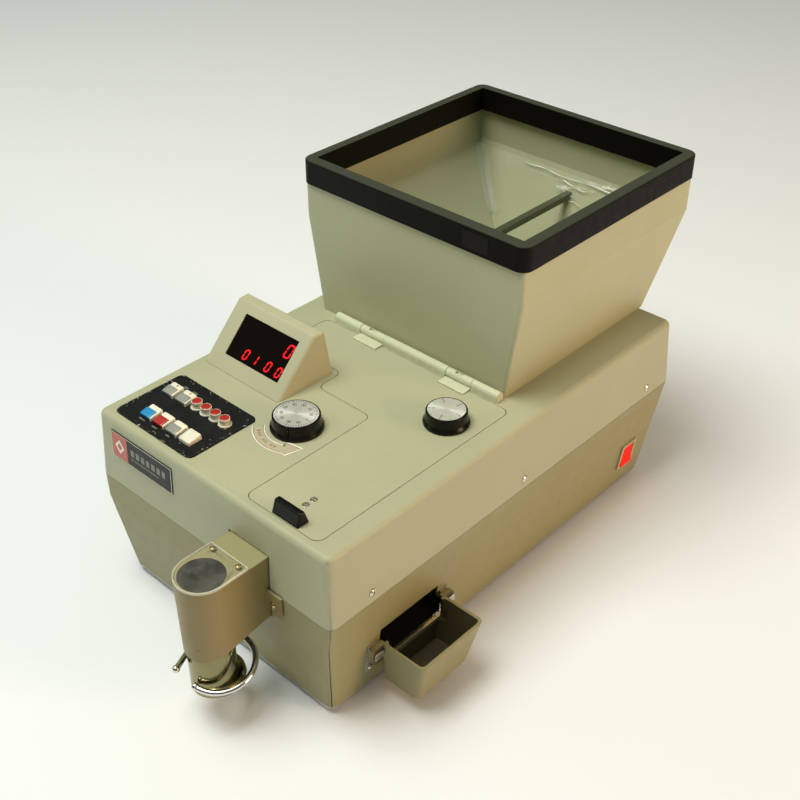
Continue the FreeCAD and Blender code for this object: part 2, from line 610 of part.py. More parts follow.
def thickness_gate():
    """Block under the lid that the thickness dial raises and lowers over the disc."""
    block = box("gate_block", across("thick_x - gate_w / 2"), along("thick_y - gate_w / 2"),
                up("-gate_z - gate_h - 3"), "gate_w", "gate_w", "gate_h")
    shoe = box("gate_shoe", across("thick_x - gate_w / 2"), along("thick_y - gate_w / 2"),
               up("-gate_z - gate_h - 8"), "gate_w", "6", "6")
    boss = rod("gate_boss", across("thick_x"), along("thick_y"), up("-gate_z - 4"), "7", "16")
    bore = rod("gate_bore", across("thick_x"), along("thick_y"), up("-gate_z - 3"),
               "shaft_r + shaft_fit", "30")
    return cut("thickness_gate", fuse("gate_joined", block, shoe, boss), bore)


# ---- control panel and display -----------------------------------------------------------------

KEYS = {
    "batch_key": ("high_row_x", "high_row_y"),
    "count_key": ("high_row_x + key_pitch + 0.8", "high_row_y"),
    "start_key": ("low_row_x", "low_row_y"),
    "stop_key": ("low_row_x + key_pitch", "low_row_y"),
    "reset_key": ("low_row_x + 2 * key_pitch", "low_row_y"),
    "add_key": ("low_row_x + 3 * key_pitch", "low_row_y"),
}
BUTTONS = ["preset_button_%d" % number for number in range(1, 5)]


def button_x(number):
    return "button_x + %d * button_pitch" % number


def control_panel():
    body = prism("panel_plate", "z", sides_rect(across("panel_x"), along("panel_y"), "panel_w",
                                                "panel_l"), up("0"), "panel_t")
    blend(body, "panel_corners", "panel_r", upright)
    holes = []
    for x, y in KEYS.values():
        holes.append(box("key_hole", across("%s - key_w / 2 - key_gap" % x),
                         along("%s - key_w / 2 - key_gap" % y), up("-1"),
                         "key_w + 2 * key_gap", "key_w + 2 * key_gap", "10"))
    for number in range(len(BUTTONS)):
        holes.append(rod("button_hole", across(button_x(number)), along("button_y"), up("-1"),
                         "button_r + 0.4", "10"))
    return cut("control_panel", body, *holes)


def key_cap(name, x, y):
    """Square key with a crowned top, from its stem under the panel to its face above it."""
    low = "-key_deep"
    points = [("-key_w / 2", low), ("key_w / 2", low), ("key_w / 2", "key_h - 1.4"),
              ("key_w / 4", "key_h - 0.3"), ("0", "key_h"), ("-key_w / 4", "key_h - 0.3"),
              ("-key_w / 2", "key_h - 1.4")]
    body = prism(name, "y", points, "-key_w / 2", "key_w")
    return place(body, across(x), along(y), TOP)


def round_button(name, number):
    points = [("0", "-key_deep"), ("button_r", "-key_deep"), ("button_r", "button_h - 2"),
              ("button_r - 0.9", "button_h - 0.4"), ("button_r - 2.4", "button_h"), ("0", "button_h")]
    return turned(name, points, across(button_x(number)), along("button_y"), TOP)


def display_points(inset):
    return [(along("display_front + %s * 1.6" % inset), up("0")),
            (along("display_top_front + %s * 0.4" % inset), up("display_h - %s" % inset)),
            (along("display_top_back - %s" % inset), up("display_h - %s" % inset)),
            (along("display_back - %s" % inset), up("0"))]


def on_slope(height, depth):
    """Point (y, z) on the display's slope at a height, sunk square to it by a depth."""
    run = "(display_top_front - display_front)"
    length = "slope_l"
    return (along("display_front + (%s) * %s / display_h + (%s) * display_h / %s"
                  % (height, run, depth, length)),
            up("%s - (%s) * %s / %s" % (height, depth, run, length)))


def slope_slab(name, x, width, low, high, outer, inner):
    points = [on_slope(low, outer), on_slope(high, outer), on_slope(high, inner), on_slope(low, inner)]
    return prism(name, "x", points, across(x), width)


def display_housing():
    body = prism("display_block", "x", display_points("0"), across("display_x"), "display_w")
    blend(body, "display_rounding", "display_r",
          lambda edge: edge.BoundBox.ZMin > value(up("2")) or not upright(edge)
          and edge.BoundBox.ZLength > 5)
    hollow = prism("display_hollow", "x", display_points("display_t"),
                   across("display_x + display_t"), "display_w - 2 * display_t")
    opening = slope_slab("display_opening", "window_x", "window_w", "window_low", "window_high",
                         "-5", "12")
    seat = slope_slab("display_seat", "window_x - 3", "window_w + 6", "window_low - 2",
                      "window_high + 2", "1.2", "12")
    return cut("display_housing", body, hollow, opening, seat)


def display_window():
    return slope_slab("display_window", "window_x - 2.9", "window_w + 5.8", "window_low - 1.9",
                      "window_high + 1.9", "1.25", "1.25 + window_t")


def nameplate():
    """Blank plate lying on the drafted front face."""
    lean = "draft / upper_h"
    points = [(along("-name_z * %s - 0.02" % lean), up("-name_z")),
              (along("-name_z * %s - name_t" % lean), up("-name_z")),
              (along("-(name_z - name_h) * %s - name_t" % lean), up("-name_z + name_h")),
              (along("-(name_z - name_h) * %s - 0.02" % lean), up("-name_z + name_h"))]
    return prism("nameplate", "x", points, across("name_x"), "name_w")


# ---- spout and bag clamp -----------------------------------------------------------------------

def spout_block(name, radius, low_radius, back, top, low):
    """D-shaped tapering block: half cones in front of the spout's axis, a wedge behind it."""
    front = doc.addObject("Part::Cone", name + "_front")
    bind(front, Radius1=low_radius, Radius2=radius, Height="(%s) - (%s)" % (top, low))
    place(front, across("spout_x"), along("spout_y"), low)
    wedge = taper(name + "_back", low, top,
                  (across("spout_x - %s" % low_radius), across("spout_x + %s" % low_radius),
                   along("spout_y"), along(back)),
                  (across("spout_x - %s" % radius), across("spout_x + %s" % radius),
                   along("spout_y"), along(back)))
    return fuse(name, front, wedge)


def spout_body():
    top = up("-spout_top")
    low = up("-spout_top - spout_rear_h - 22")
    outer = spout_block("spout_outer", "spout_r", "spout_low_r", "spout_back", top, low)
    inner = spout_block("spout_inner", "(spout_r - spout_t)", "(spout_low_r - spout_t)",
                        "spout_back + 2", up("-spout_top - spout_t"),
                        up("-spout_top - spout_rear_h - 22.5"))
    sight = rod("sight_hole", across("spout_x"), along("spout_y"), up("-spout_top - 5"),
                "sight_r", "10")
    rear = "spout_top + spout_rear_h"
    below = prism("spout_slant", "x",
                  [(along("spout_back + 5"), up("-(%s) + 5 * spout_fall" % rear)),
                   (along("spout_y - 40"), up("-(%s) - (40 - spout_y) * spout_fall" % rear)),
                   (along("spout_y - 40"), up("-(%s) - 60" % rear)),
                   (along("spout_back + 5"), up("-(%s) - 60" % rear))],
                  across("spout_x - 40"), "80")
    tab = box("spout_tab", across("spout_x + spout_low_r - 0.5"), along("-draft - 0.7 - tab_t"),
              up("-tab_z - tab_h"), "tab_w", "tab_t", "tab_h")
    hole = rod("tab_hole", across("spout_x + spout_r + tab_screw_x"), along("-draft - 20"),
               up("-tab_z - tab_h + tab_screw_z"), "1.86", "40", TO_Y)
    screws = [rod("cover_screw_hole", across("spout_x + (%d) * 17.5" % side),
                  along("cover_back - 5"), up("-spout_top - 5"), "1.3", "10") for side in (-1, 1)]
    return cut("spout_body", fuse("spout_walls", cut("spout_hollowed", outer, inner), tab),
               sight, below, hole, *screws)


def spout_cover():
    """Clear plate over the spout, shaped like its top."""
    disc = rod("cover_disc", across("spout_x"), along("spout_y"), up("-spout_top"), "spout_r", "cover_t")
    back = box("cover_back_part", across("spout_x - spout_r"), along("spout_y"), up("-spout_top"),
               "2 * spout_r", "cover_back - spout_y", "cover_t")
    plate = rounded("cover_plate", fuse("cover_block", disc, back), "2.5",
                    lambda edge: upright(edge) and edge.BoundBox.YMin > value(along("cover_back")) - 1)
    screws = [rod("cover_bore", across("spout_x + (%d) * 17.5" % side), along("cover_back - 5"),
                  up("-spout_top - 5"), "1.3", "20") for side in (-1, 1)]
    return cut("spout_cover", plate, *screws)


def spout_screws():
    screws = [dome_screw("spout_screw", "m3_head", "1.25", "6", across("spout_x + (%d) * 17.5" % side),
                         along("cover_back - 5"), up("cover_t - spout_top"), None) for side in (-1, 1)]
    screws.append(dome_screw("tab_screw", "m4_head", "1.7", "6",
                             across("spout_x + spout_r + tab_screw_x"),
                             along("-draft - 0.7 - tab_t"), up("-tab_z - tab_h + tab_screw_z"),
                             Rotation(Vector(1, 0, 0), 90)))
    return group("spout_screws", *screws)


def spout_tube():
    """Chromed tube with a heavy lip, set back a little, that the bag's neck is held over."""
    height = "tube_low - tube_top"
    tube = rod("tube_wall", across("spout_x"), along("spout_y"), up("-tube_low"), "tube_r", height)
    lip_x = across("spout_x + lip_dx")
    lip_y = along("spout_y + lip_dy")
    lip = turned("tube_lip", [("0", "-lip_h"), ("lip_r - 4", "-lip_h"), ("lip_r - 1.6", "-lip_h * 0.8"),
                              ("lip_r - 0.4", "-lip_h * 0.45"), ("lip_r", "-lip_h * 0.2"),
                              ("lip_r - 0.8", "1.2"), ("lip_r - 3", "2.4"), ("0", "2.4")],
                 lip_x, lip_y, up("-tube_low + lip_h"))
    bore = rod("tube_bore", across("spout_x"), along("spout_y"), up("-tube_low - 20"),
               "tube_r - tube_t", "tube_low - tube_top + 40")
    return cut("spout_tube", fuse("tube_and_lip", tube, lip), bore)


def bag_clamp():
    """Open wire ring with ball tips, sprung around the tube."""
    ring = doc.addObject("Part::Torus", "clamp_ring")
    bind(ring, Radius1="clamp_r", Radius2="wire_r", Angle3="clamp_sweep")
    lean = Rotation(Vector(0.77, 0.64, 0), DIMENSIONS["clamp_lean"])
    turn = lean.multiply(Rotation(Vector(0, 0, 1), DIMENSIONS["clamp_start"]))
    place(ring, across("clamp_x"), along("clamp_y"), up("-clamp_z"), turn)
    frame = Placement(Vector(value(across("clamp_x")), value(along("clamp_y")),
                             value(up("-clamp_z"))), turn)
    end = Rotation(Vector(0, 0, 1), DIMENSIONS["clamp_sweep"])
    pieces = [ring]
    for spin, length, sign, rise in ((Rotation(), 2.5, -1, 0),
                                     (end, DIMENSIONS["clamp_tail"], 1, DIMENSIONS["clamp_rise"])):
        start = frame.multVec(spin.multVec(Vector(DIMENSIONS["clamp_r"], 0, 0)))
        way = frame.Rotation.multVec(spin.multVec(Vector(0, sign, rise))).normalize()
        elbow = doc.addObject("Part::Sphere", "clamp_elbow")
        bind(elbow, Radius="wire_r + 0.02")
        elbow.Placement = Placement(start, Rotation())
        tail = doc.addObject("Part::Cylinder", "clamp_tail")
        bind(tail, Radius="wire_r")
        tail.Height = length
        tail.Placement = Placement(start, Rotation(Vector(0, 0, 1), way))
        ball = doc.addObject("Part::Sphere", "clamp_ball")
        bind(ball, Radius="ball_r")
        ball.Placement = Placement(start + way * length, Rotation())
        pieces += [elbow, tail, ball]
    return fuse("bag_clamp", *pieces)


# ---- reject tray -------------------------------------------------------------------------------

def tray_sides(inset):
    rim = (across("tray_x + %s" % inset), across("tray_x + tray_out - %s" % inset),
           along("tray_y + %s" % inset), along("tray_y + tray_w - %s" % inset))
    floor = (across("tray_x + %s" % inset), across("tray_x + tray_out - tray_in_x - %s" % inset),
             along("tray_y + tray_in_front + %s" % inset),
             along("tray_y + tray_w - tray_in_back - %s" % inset))
    return floor, rim


def reject_tray():
    low, high = up("-tray_top - tray_h"), up("-tray_top")
    floor, rim = tray_sides("0")
    block = rounded("tray_block", taper("tray_outer", low, high, floor, rim), "tray_r",
                    lambda edge: upright(edge) and edge.BoundBox.XMin > value(across("tray_x + 5")))
    inner_floor, inner_rim = tray_sides("tray_t")
    hollow = rounded("tray_hollow", taper("tray_inner", low + " + tray_t", high + " + 3", inner_floor,
                                          inner_rim), "tray_r - tray_t", upright)
    mouth = box("tray_mouth", across("tray_x - 5"), along("tray_y + tray_t + 3"),
                up("-tray_top - tray_h + tray_back_h"), "tray_t + 12", "tray_w - 2 * tray_t - 6",
                "tray_h")
    ears = []
    for y, outer, root in (("tray_y - ear_l", "tray_y - ear_l", "tray_y"),
                           ("tray_y + tray_w - 0.5", "tray_y + tray_w + ear_l", "tray_y + tray_w - 3")):
        ear = box("tray_ear_block", across("ear_x"), along(y), up("-tray_top - ear_h"), "ear_t",
                  "ear_l + 0.5", "ear_h")
        corner = Vector(0, value(along(outer)), value(up("-tray_top")))
        ears.append(rounded("tray_ear", ear, "5", lambda edge: all(
            abs(v.Y - corner.y) < 0.1 and abs(v.Z - corner.z) < 0.1 for v in edge.Vertexes)))
        ears.append(box("tray_root", across("ear_x"), along(root), up("-tray_top - ear_h"),
                        "tray_x - ear_x + 2", "3", "ear_h"))
    shell = cut("tray_shell", block, hollow, mouth)
    return fuse("reject_tray", shell, *ears)


def hook_points():
    """Side view of a spring clip: a leg down the sloping wall and a hook that holds an ear."""
    def wall(depth, off):
        return (side_at(depth) + " + %s" % off, up("-%s" % depth))
    outer = across("ear_x + ear_t + 0.8")
    return [wall("clip_low", "0.02"), wall("clip_low", "clip_t"),
            (side_at("hook_low") + " + clip_t", up("-hook_low - clip_t")),
            (outer + " + clip_t", up("-hook_low - clip_t")),
            (outer + " + clip_t", up("-hook_low + 7")), (outer, up("-hook_low + 7")),
            (outer, up("-hook_low")), (across("ear_x - 1.2"), up("-hook_low")),
            (across("ear_x - 1.2"), up("-clip_high")), wall("clip_high", "0.02")]


def tray_clips():
    clips = []
    for number, y in enumerate(CLIP_PLACES):
        strip = prism("tray_clip_%d" % number, "y", hook_points(), along(y), "clip_w")
        hole = rod("clip_hole", side_at("(clip_low - clip_screw_z)") + " - 10",
                   along(y + " + clip_w / 2"), up("-clip_low + clip_screw_z"), "1.8", "30", TO_X)
        clips.append(cut("tray_clip", strip, hole))
    return group("tray_clips", *clips)


def clip_screws():
    screws = [dome_screw("clip_screw", "m3_head", "1.7", "8",
                         side_at("(clip_low - clip_screw_z)") + " + clip_t + 0.5",
                         along(y + " + clip_w / 2"), up("-clip_low + clip_screw_z"), TO_X)
              for y in CLIP_PLACES]
    return group("clip_screws", *screws)


def reject_chute():
    """Sloping trough from the coin deck out over the tray's low back wall."""
    def trough(name, rise, y, width):
        points = [(across("chute_in"), up("-chute_high")), (across("chute_out"), up("-chute_low")),
                  (across("chute_out"), up("-chute_low + %s" % rise)),
                  (across("chute_in"), up("-chute_high + %s" % rise))]
        return prism(name, "y", points, along(y), width)
    return fuse("reject_chute", trough("chute_floor", "1.6", "window_y + 3", "tray_window_w - 6"),
                trough("chute_front_wall", "14", "window_y + 3", "1.6"),
                trough("chute_back_wall", "14", "window_y + tray_window_w - 4.6", "1.6"))


# ---- rocker switch and inlet -------------------------------------------------------------------

LEAN = Rotation(Vector(0, 1, 0), 7.13)


def on_side(name, y, depth, width, height, out, inward):
    """Block on the sloping tray side, standing out of it by `out`, centred on (y, depth)."""
    item = doc.addObject("Part::Box", name)
    bind(item, Length="(%s) + (%s)" % (out, inward), Width=width, Height=height)
    item.Placement = Placement(Vector(), LEAN)
    slope = "(draft + base_inset) / (lower_h - plate_t)"
    return bind(item, Placement__Base__x=side_at("(%s)" % depth)
                + " - (%s) - (%s) / 2 * %s" % (inward, height, slope),
                Placement__Base__y=along("%s - (%s) / 2" % (y, width)),
                Placement__Base__z=up("-(%s) - (%s) / 2 + (%s) * %s" % (depth, height, inward, slope)))


def switch_bezel():
    frame = on_side("bezel_frame", "switch_y", "switch_z", "bezel_w", "bezel_h", "bezel_t", "-0.12")
    frame = rounded("bezel_rounded", frame, "1.6", lambda edge: edge.BoundBox.XLength > edge.Length * 0.9)
    case = on_side("bezel_case", "switch_y", "switch_z", "bezel_w - 5", "bezel_h - 5", "0.5", "24")
    hole = on_side("bezel_hole", "switch_y", "switch_z", "rocker_w + 0.8", "rocker_h + 0.8", "6", "12")
    pivot = rod("bezel_pivot_hole", side_at("switch_z"), along("switch_y - rocker_w / 2 - 1.6"),
                up("-switch_z"), "pivot_r + 0.1", "rocker_w + 3.2", TO_Y)
    return cut("switch_bezel", fuse("bezel_block", frame, case), hole, pivot)


def power_rocker():
    """Two-faced rocker that turns on a pin across the bezel."""
    half = "(rocker_h / 2 - 0.7)"
    points = [("-8", "-%s + 3" % half), ("0", "-%s" % half), ("rocker_out", "-%s" % half),
              ("rocker_out / 2 - 0.3", "0"), ("0.8", half), ("-1.5", half), ("-8", "%s - 3" % half)]
    body = prism("rocker_body", "y", points, "-rocker_w / 2", "rocker_w")
    place(body, side_at("switch_z"), along("switch_y"), up("-switch_z"), LEAN)
    pivot = rod("rocker_pivot", side_at("switch_z"), along("switch_y - rocker_w / 2 - 1.2"),
                up("-switch_z"), "pivot_r", "rocker_w + 2.4", TO_Y)
    return fuse("power_rocker", body, pivot)


def power_inlet():
    """Three-pin mains inlet in the back wall."""
    shell = box("inlet_shell", "-inlet_w / 2", "-inlet_d", "-inlet_h / 2", "inlet_w",
                "inlet_d + 1", "inlet_h")
    flange = box("inlet_flange", "-inlet_w / 2 - 6", "0.02", "-inlet_h / 2 - 4", "inlet_w + 12",
                 "flange_t", "inlet_h + 8")
    flange = rounded("inlet_flange_rounded", flange, "3",
                     lambda edge: edge.BoundBox.YLength > edge.Length * 0.9)
    socket = box("inlet_socket", "-inlet_w / 2 + 2", "-inlet_d + 7", "-inlet_h / 2 + 2.5",
                 "inlet_w - 4", "40", "inlet_h - 5")
    pins = [box("inlet_pin", "-1 + (%s)" % x, "-inlet_d + 5", "-2 + (%s)" % z, "2", "11", "4")
            for x, z in ((-7, -1.5), (7, -1.5), (0, 2))]
    inlet = fuse("inlet_joined", cut("inlet_body", fuse("inlet_block", shell, flange), socket), *pins)
    return on_back("power_inlet", inlet)


# ---- mechanism ---------------------------------------------------------------------------------

def deck_plate():
    top = up("-deck_z - deck_t")
    plate = box("deck_sheet", across("deck_left"), along("deck_front"), top,
                "deck_right - deck_left", "deck_back - deck_front", "deck_t")
    walls = [box("deck_wall", across(x), along("deck_front"), FLOOR, "2.5",
                 "deck_back - deck_front", up("-deck_z - 1") + " - (%s)" % FLOOR)
             for x in ("deck_left", "deck_right - 2.5")]
    disc = rod("disc_well", across("disc_x"), along("disc_y"), up("-deck_z - 10"), "disc_r + 1", "20")
    bridge = box("spindle_bridge", across("deck_left + 1"), along("disc_y - 22"), up("-deck_z - 11"),
                 "deck_right - deck_left - 2", "44", "3")
    spindle = rod("spindle_hole", across("disc_x"), along("disc_y"), up("-deck_z - 20"),
                  "bearing_r + 0.02", "20")
    belt_window = box("belt_window", across("deck_left - 5"), along("disc_y - 36"),
                      up("-pulley_z - 6"), "20", "72", "pulley_h + 16")
    chute_window = box("chute_window", across("deck_right - 15"), along("window_y"), up("-150"),
                       "40", "tray_window_w", "62")
    sheet_part = cut("deck_sheet_cut", fuse("deck_folded", plate, *walls), disc, belt_window,
                     chute_window)
    return cut("deck_plate", fuse("deck_bridged", sheet_part, bridge), spindle)


def disc_bearing():
    ring = rod("bearing_outer", across("disc_x"), along("disc_y"), up("-deck_z - 11 - bearing_h"),
               "bearing_r", "bearing_h + 3")
    collar = rod("bearing_collar", across("disc_x"), along("disc_y"), up("-deck_z - 11 - bearing_h"),
                 "bearing_r + 5", "bearing_h - 0.02")
    hole = rod("bearing_hole", across("disc_x"), along("disc_y"), up("-deck_z - 60"),
               "spindle_r + 0.05", "80")
    return cut("disc_bearing", fuse("bearing_block", ring, collar), hole)


def feed_disc():
    """Shallow dished disc that throws the coins out to its rim."""
    points = [("0", "-disc_t"), ("disc_r", "-disc_t"), ("disc_r", "disc_rim"),
              ("disc_r - 4", "disc_rim"), ("disc_r - 6", "0"), ("14", "0"), ("10", "3"), ("0", "3")]
    return turned("feed_disc", points, across("disc_x"), along("disc_y"), up("-deck_z"))


def disc_spindle():
    """Spindle with its driven pulley."""
    low = "deck_z - pulley_z"
    points = [("0", low), ("pulley_r", low), ("pulley_r", low + " + pulley_h"),
              ("spindle_r + 4", low + " + pulley_h"), ("spindle_r + 4", low + " + pulley_h + 4"),
              ("spindle_r", low + " + pulley_h + 4"), ("spindle_r", "-disc_t - 0.02"),
              ("0", "-disc_t - 0.02")]
    return turned("disc_spindle", points, across("disc_x"), along("disc_y"), up("-deck_z"))


def motor_pulley():
    points = [("0", "-14"), ("4", "-14"), ("4", "0"), ("motor_pulley_r", "0"),
              ("motor_pulley_r", "pulley_h"), ("0", "pulley_h")]
    return turned("motor_pulley", points, across("motor_x"), along("disc_y"), up("-pulley_z"))


def drive_motor():
    can = rod("motor_can", across("motor_x"), along("disc_y"), FLOOR, "motor_r", "motor_h")
    boss = rod("motor_boss", across("motor_x"), along("disc_y"), FLOOR + " + motor_h", "11", "3")
    hole = rod("motor_shaft_hole", across("motor_x"), along("disc_y"), FLOOR + " + motor_h - 6",
               "4.06", "20")
    return cut("drive_motor", fuse("motor_block", can, boss), hole)


def belt_loop(name, grow, depth):
    """Straight-sided loop around both pulleys, grown outwards by `grow`."""
    big = rod(name + "_big", across("disc_x"), along("disc_y"), up("-pulley_z + 2"),
              "pulley_r + %s" % grow, depth)
    small = rod(name + "_small", across("motor_x"), along("disc_y"), up("-pulley_z + 2"),
                "motor_pulley_r + %s" % grow, depth)
    span = prism(name + "_span", "z",
                 [(across("motor_x"), along("disc_y - motor_pulley_r - %s" % grow)),
                  (across("disc_x"), along("disc_y - pulley_r - %s" % grow)),
                  (across("disc_x"), along("disc_y + pulley_r + %s" % grow)),
                  (across("motor_x"), along("disc_y + motor_pulley_r + %s" % grow))],
                 up("-pulley_z + 2"), depth)
    return fuse(name, big, small, span)


def drive_belt():
    return cut("drive_belt", belt_loop("belt_outer", "(0.3 + belt_t)", "pulley_h - 4"),
               belt_loop("belt_inner", "0.3", "pulley_h - 4"))


def size_rail():
    """Guide rail that the large dial shifts across the coin track to set the coin's width."""
    return box("size_rail", across("rail_x"), along("deck_front + 2"), up("-deck_z + 0.3"),
               "rail_w", "rail_l - 34", "rail_h")


def coin_sensor():
    """Forked sensor over the coin track."""
    block = box("sensor_block", across("spout_x - sensor_w / 2 + 4"), along("sensor_y"),
                up("-deck_z + 0.02"), "sensor_w - 8", "sensor_l", "20")
    track = box("sensor_track", across("spout_x - 24"), along("sensor_y - 5"), up("-deck_z - 5"),
                "70", "sensor_l + 10", "14")
    return cut("coin_sensor", block, track)


def conveyor_frame():
    side = "hopper_x - belt_w / 2 - 4 - frame_t"
    far = "hopper_x + belt_w / 2 + 4"
    cheeks = []
    for x in (side, far):
        cheek = box("cheek", across(x), along("roller_y - roller_r - 3"), FLOOR, "frame_t",
                    "roller_gap + 2 * roller_r + 6", up("-20") + " - (%s)" % FLOOR)
        cheeks.append(cheek)
    ties = [box("cross_tie", across(side), along(y), up("-120"), "belt_w + 8 + 2 * frame_t", "10", "4")
            for y in ("roller_y + 20", "roller_y + roller_gap - 20")]
    bed = box("belt_bed", across(side), along("roller_y + 20"), up("-roller_z + roller_r - 4"),
              "belt_w + 8 + 2 * frame_t", "roller_gap - 40", "1.6")
    axles = [rod("axle_hole", across(side + " - 5"), along(y), up("-roller_z"), "4.06",
                 "belt_w + 30", TO_X) for y in ("roller_y", "roller_y + roller_gap")]
    return cut("conveyor_frame", fuse("conveyor_joined", *(cheeks + ties + [bed])), *axles)


def roller(name, y):
    side = "hopper_x - belt_w / 2 - 4 - frame_t"
    barrel = rod(name + "_barrel", across("hopper_x - belt_w / 2 + 1"), along(y), up("-roller_z"),
                 "roller_r", "belt_w - 2", TO_X)
    axle = rod(name + "_axle", across(side + " - 3"), along(y), up("-roller_z"), "4",
               "belt_w + 14 + 2 * frame_t", TO_X)
    return fuse(name, barrel, axle)


def belt_ring(name, grow):
    ends = [rod(name + "_end", across("hopper_x - belt_w / 2"), along(y), up("-roller_z"),
                "roller_r + %s" % grow, "belt_w", TO_X) for y in ("roller_y", "roller_y + roller_gap")]
    span = box(name + "_span", across("hopper_x - belt_w / 2"), along("roller_y"),
               up("-roller_z - roller_r - %s" % grow), "belt_w", "roller_gap",
               "2 * roller_r + 2 * %s" % grow)
    return fuse(name, span, *ends)


def hopper_belt():
    return cut("hopper_belt", belt_ring("hopper_belt_outer", "(0.3 + conveyor_t)"),
               belt_ring("hopper_belt_inner", "0.3"))


def control_board():
    board = box("board_sheet", across("panel_x + 8"), along("panel_y + 8"), up("-board_z"),
                "panel_w - 16", "panel_l - 16", "board_t")
    chips = [box("board_chip", across("panel_x + %d" % x), along("panel_y + %d" % y),
                 up("-board_z - 5"), "22", "12", "5") for x, y in ((20, 20), (60, 50), (85, 22))]
    posts = [box("board_post", across(x), along(y), up("-board_z"), "5", "5",
                 "board_z - top_wall - 0.02")
             for x in ("panel_x + 7", "panel_x + panel_w - 12")
             for y in ("panel_y - 2", "panel_y + panel_l - 3")]
    tabs = [box("board_tab", across("panel_x + 7"), along(y), up("-board_z"), "panel_w - 14", "12",
                "board_t") for y in ("panel_y - 2", "panel_y + panel_l - 10")]
    return fuse("control_board", board, *(chips + posts + tabs))


def transformer():
    core = box("core", across("core_x - core_w / 2"), along("core_y"), FLOOR, "core_w", "core_l",
               "core_h")
    coil = box("coil", across("core_x - core_w / 2 - 9"), along("core_y + 14"), FLOOR + " + 12",
               "core_w + 18", "core_l - 28", "core_h - 24")
    return fuse("transformer", core, coil)


# ---- every sub-part, checked and written out ---------------------------------------------------

SINGLE_PARTS = [
    lower_housing, upper_housing, base_plate, rubber_feet, housing_screws, hopper_body, hopper_rim,
    hopper_baffle, access_lid, lid_screws, lid_handle, hinge_cover, hinge_pin, lid_hinges,
    thickness_gate, control_panel, display_housing, display_window, nameplate, spout_body,
    spout_cover, spout_screws, spout_tube, bag_clamp, reject_tray, tray_clips, clip_screws,
    reject_chute, switch_bezel, power_rocker, power_inlet, deck_plate, disc_bearing, feed_disc,
    disc_spindle, motor_pulley, drive_motor, drive_belt, size_rail, coin_sensor, conveyor_frame,
    hopper_belt, control_board, transformer,
]


def build_all():
    parts = {make.__name__: make() for make in SINGLE_PARTS}
    parts["size_knob"] = knob("size_knob", "size_x", "size_y", "size_r", "size_skirt")
    parts["size_dial"] = dial("size_dial", "size_x", "size_y", "size_dial_r")
    parts["thickness_knob"] = knob("thickness_knob", "thick_x", "thick_y", "thick_r", "thick_skirt")
    parts["thickness_dial"] = dial("thickness_dial", "thick_x", "thick_y", "thick_dial_r")
    parts["front_roller"] = roller("front_roller", "roller_y")
    parts["rear_roller"] = roller("rear_roller", "roller_y + roller_gap")
    for name, (x, y) in KEYS.items():
        parts[name] = key_cap(name, x, y)
    for number, name in enumerate(BUTTONS):
        parts[name] = round_button(name, number)
    return parts


def check(parts):
    failed = [item.Label for item in doc.Objects if {"Invalid", "Error"} & set(item.State)]
    if failed:
        raise RuntimeError("failed: " + ", ".join(failed))
    unsound = [name for name, item in parts.items()
               if item.Shape.isNull() or not item.Shape.isValid() or not item.Shape.Solids]
    if unsound:
        raise RuntimeError("unsound: " + ", ".join(unsound))


def write(parts):
    os.makedirs("parts", exist_ok=True)
    for name, item in parts.items():
        item.Label = name
        item.Shape.exportStep("parts/%s.step" % name)
        print("%-18s %2d solids %9.1f cm3" % (name, len(item.Shape.Solids), item.Shape.Volume / 1000))


parts = build_all()
doc.recompute()
check(parts)
write(parts)
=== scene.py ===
import bmesh
import bpy
import json
import math
import random
from mathutils import Matrix, Vector


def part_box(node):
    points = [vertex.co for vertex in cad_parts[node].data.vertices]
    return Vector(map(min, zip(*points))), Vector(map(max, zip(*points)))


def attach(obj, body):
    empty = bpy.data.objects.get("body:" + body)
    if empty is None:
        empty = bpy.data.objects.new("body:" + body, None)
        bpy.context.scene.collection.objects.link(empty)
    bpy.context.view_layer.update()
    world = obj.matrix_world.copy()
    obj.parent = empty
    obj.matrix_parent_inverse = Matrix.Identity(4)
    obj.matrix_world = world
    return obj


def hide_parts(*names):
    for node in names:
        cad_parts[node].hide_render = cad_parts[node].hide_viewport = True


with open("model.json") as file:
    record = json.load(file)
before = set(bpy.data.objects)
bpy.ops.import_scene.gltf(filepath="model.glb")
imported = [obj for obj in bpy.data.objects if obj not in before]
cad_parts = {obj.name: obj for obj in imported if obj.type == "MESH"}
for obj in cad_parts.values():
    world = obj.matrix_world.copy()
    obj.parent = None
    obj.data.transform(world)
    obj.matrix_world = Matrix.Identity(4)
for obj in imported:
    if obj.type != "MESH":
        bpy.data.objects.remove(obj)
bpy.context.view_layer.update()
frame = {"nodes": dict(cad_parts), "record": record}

NODES = frame["nodes"]


# ---- places ------------------------------------------------------------------------------------

TOP_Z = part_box("upper_housing")[1][2]


def on_top(x, y, z=0.0):
    """A place in mm across, along and up from the housing's front left top corner, in metres."""
    return Vector((-0.165 + x / 1000, -0.269 + y / 1000, TOP_Z + z / 1000))


def corners(node):
    """A node's lowest and highest corners as vectors."""
    low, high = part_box(node)
    return Vector(low), Vector(high)


def centre_of(node):
    low, high = corners(node)
    return (low + high) / 2


def axes(along, up, out, origin):
    """Matrix that carries x, y and z to these directions, from an origin."""
    return Matrix((*zip(along, up, out, origin), (0, 0, 0, 1)))


def face_frame(node, wanted):
    """Frame on a node's largest wanted face: x along it, y up it and z out of it."""
    data = NODES[node].data
    face = max(data.polygons, key=lambda face: face.area * wanted(face.normal))
    out = face.normal.copy()
    rise = Vector((1, 0, 0)).cross(out).normalized()
    if rise.z < 0:
        rise = -rise
    start = min((data.vertices[index].co for index in face.vertices), key=lambda point: point.z)
    return axes((1, 0, 0), rise, out, (corners(node)[0].x, start.y, start.z))


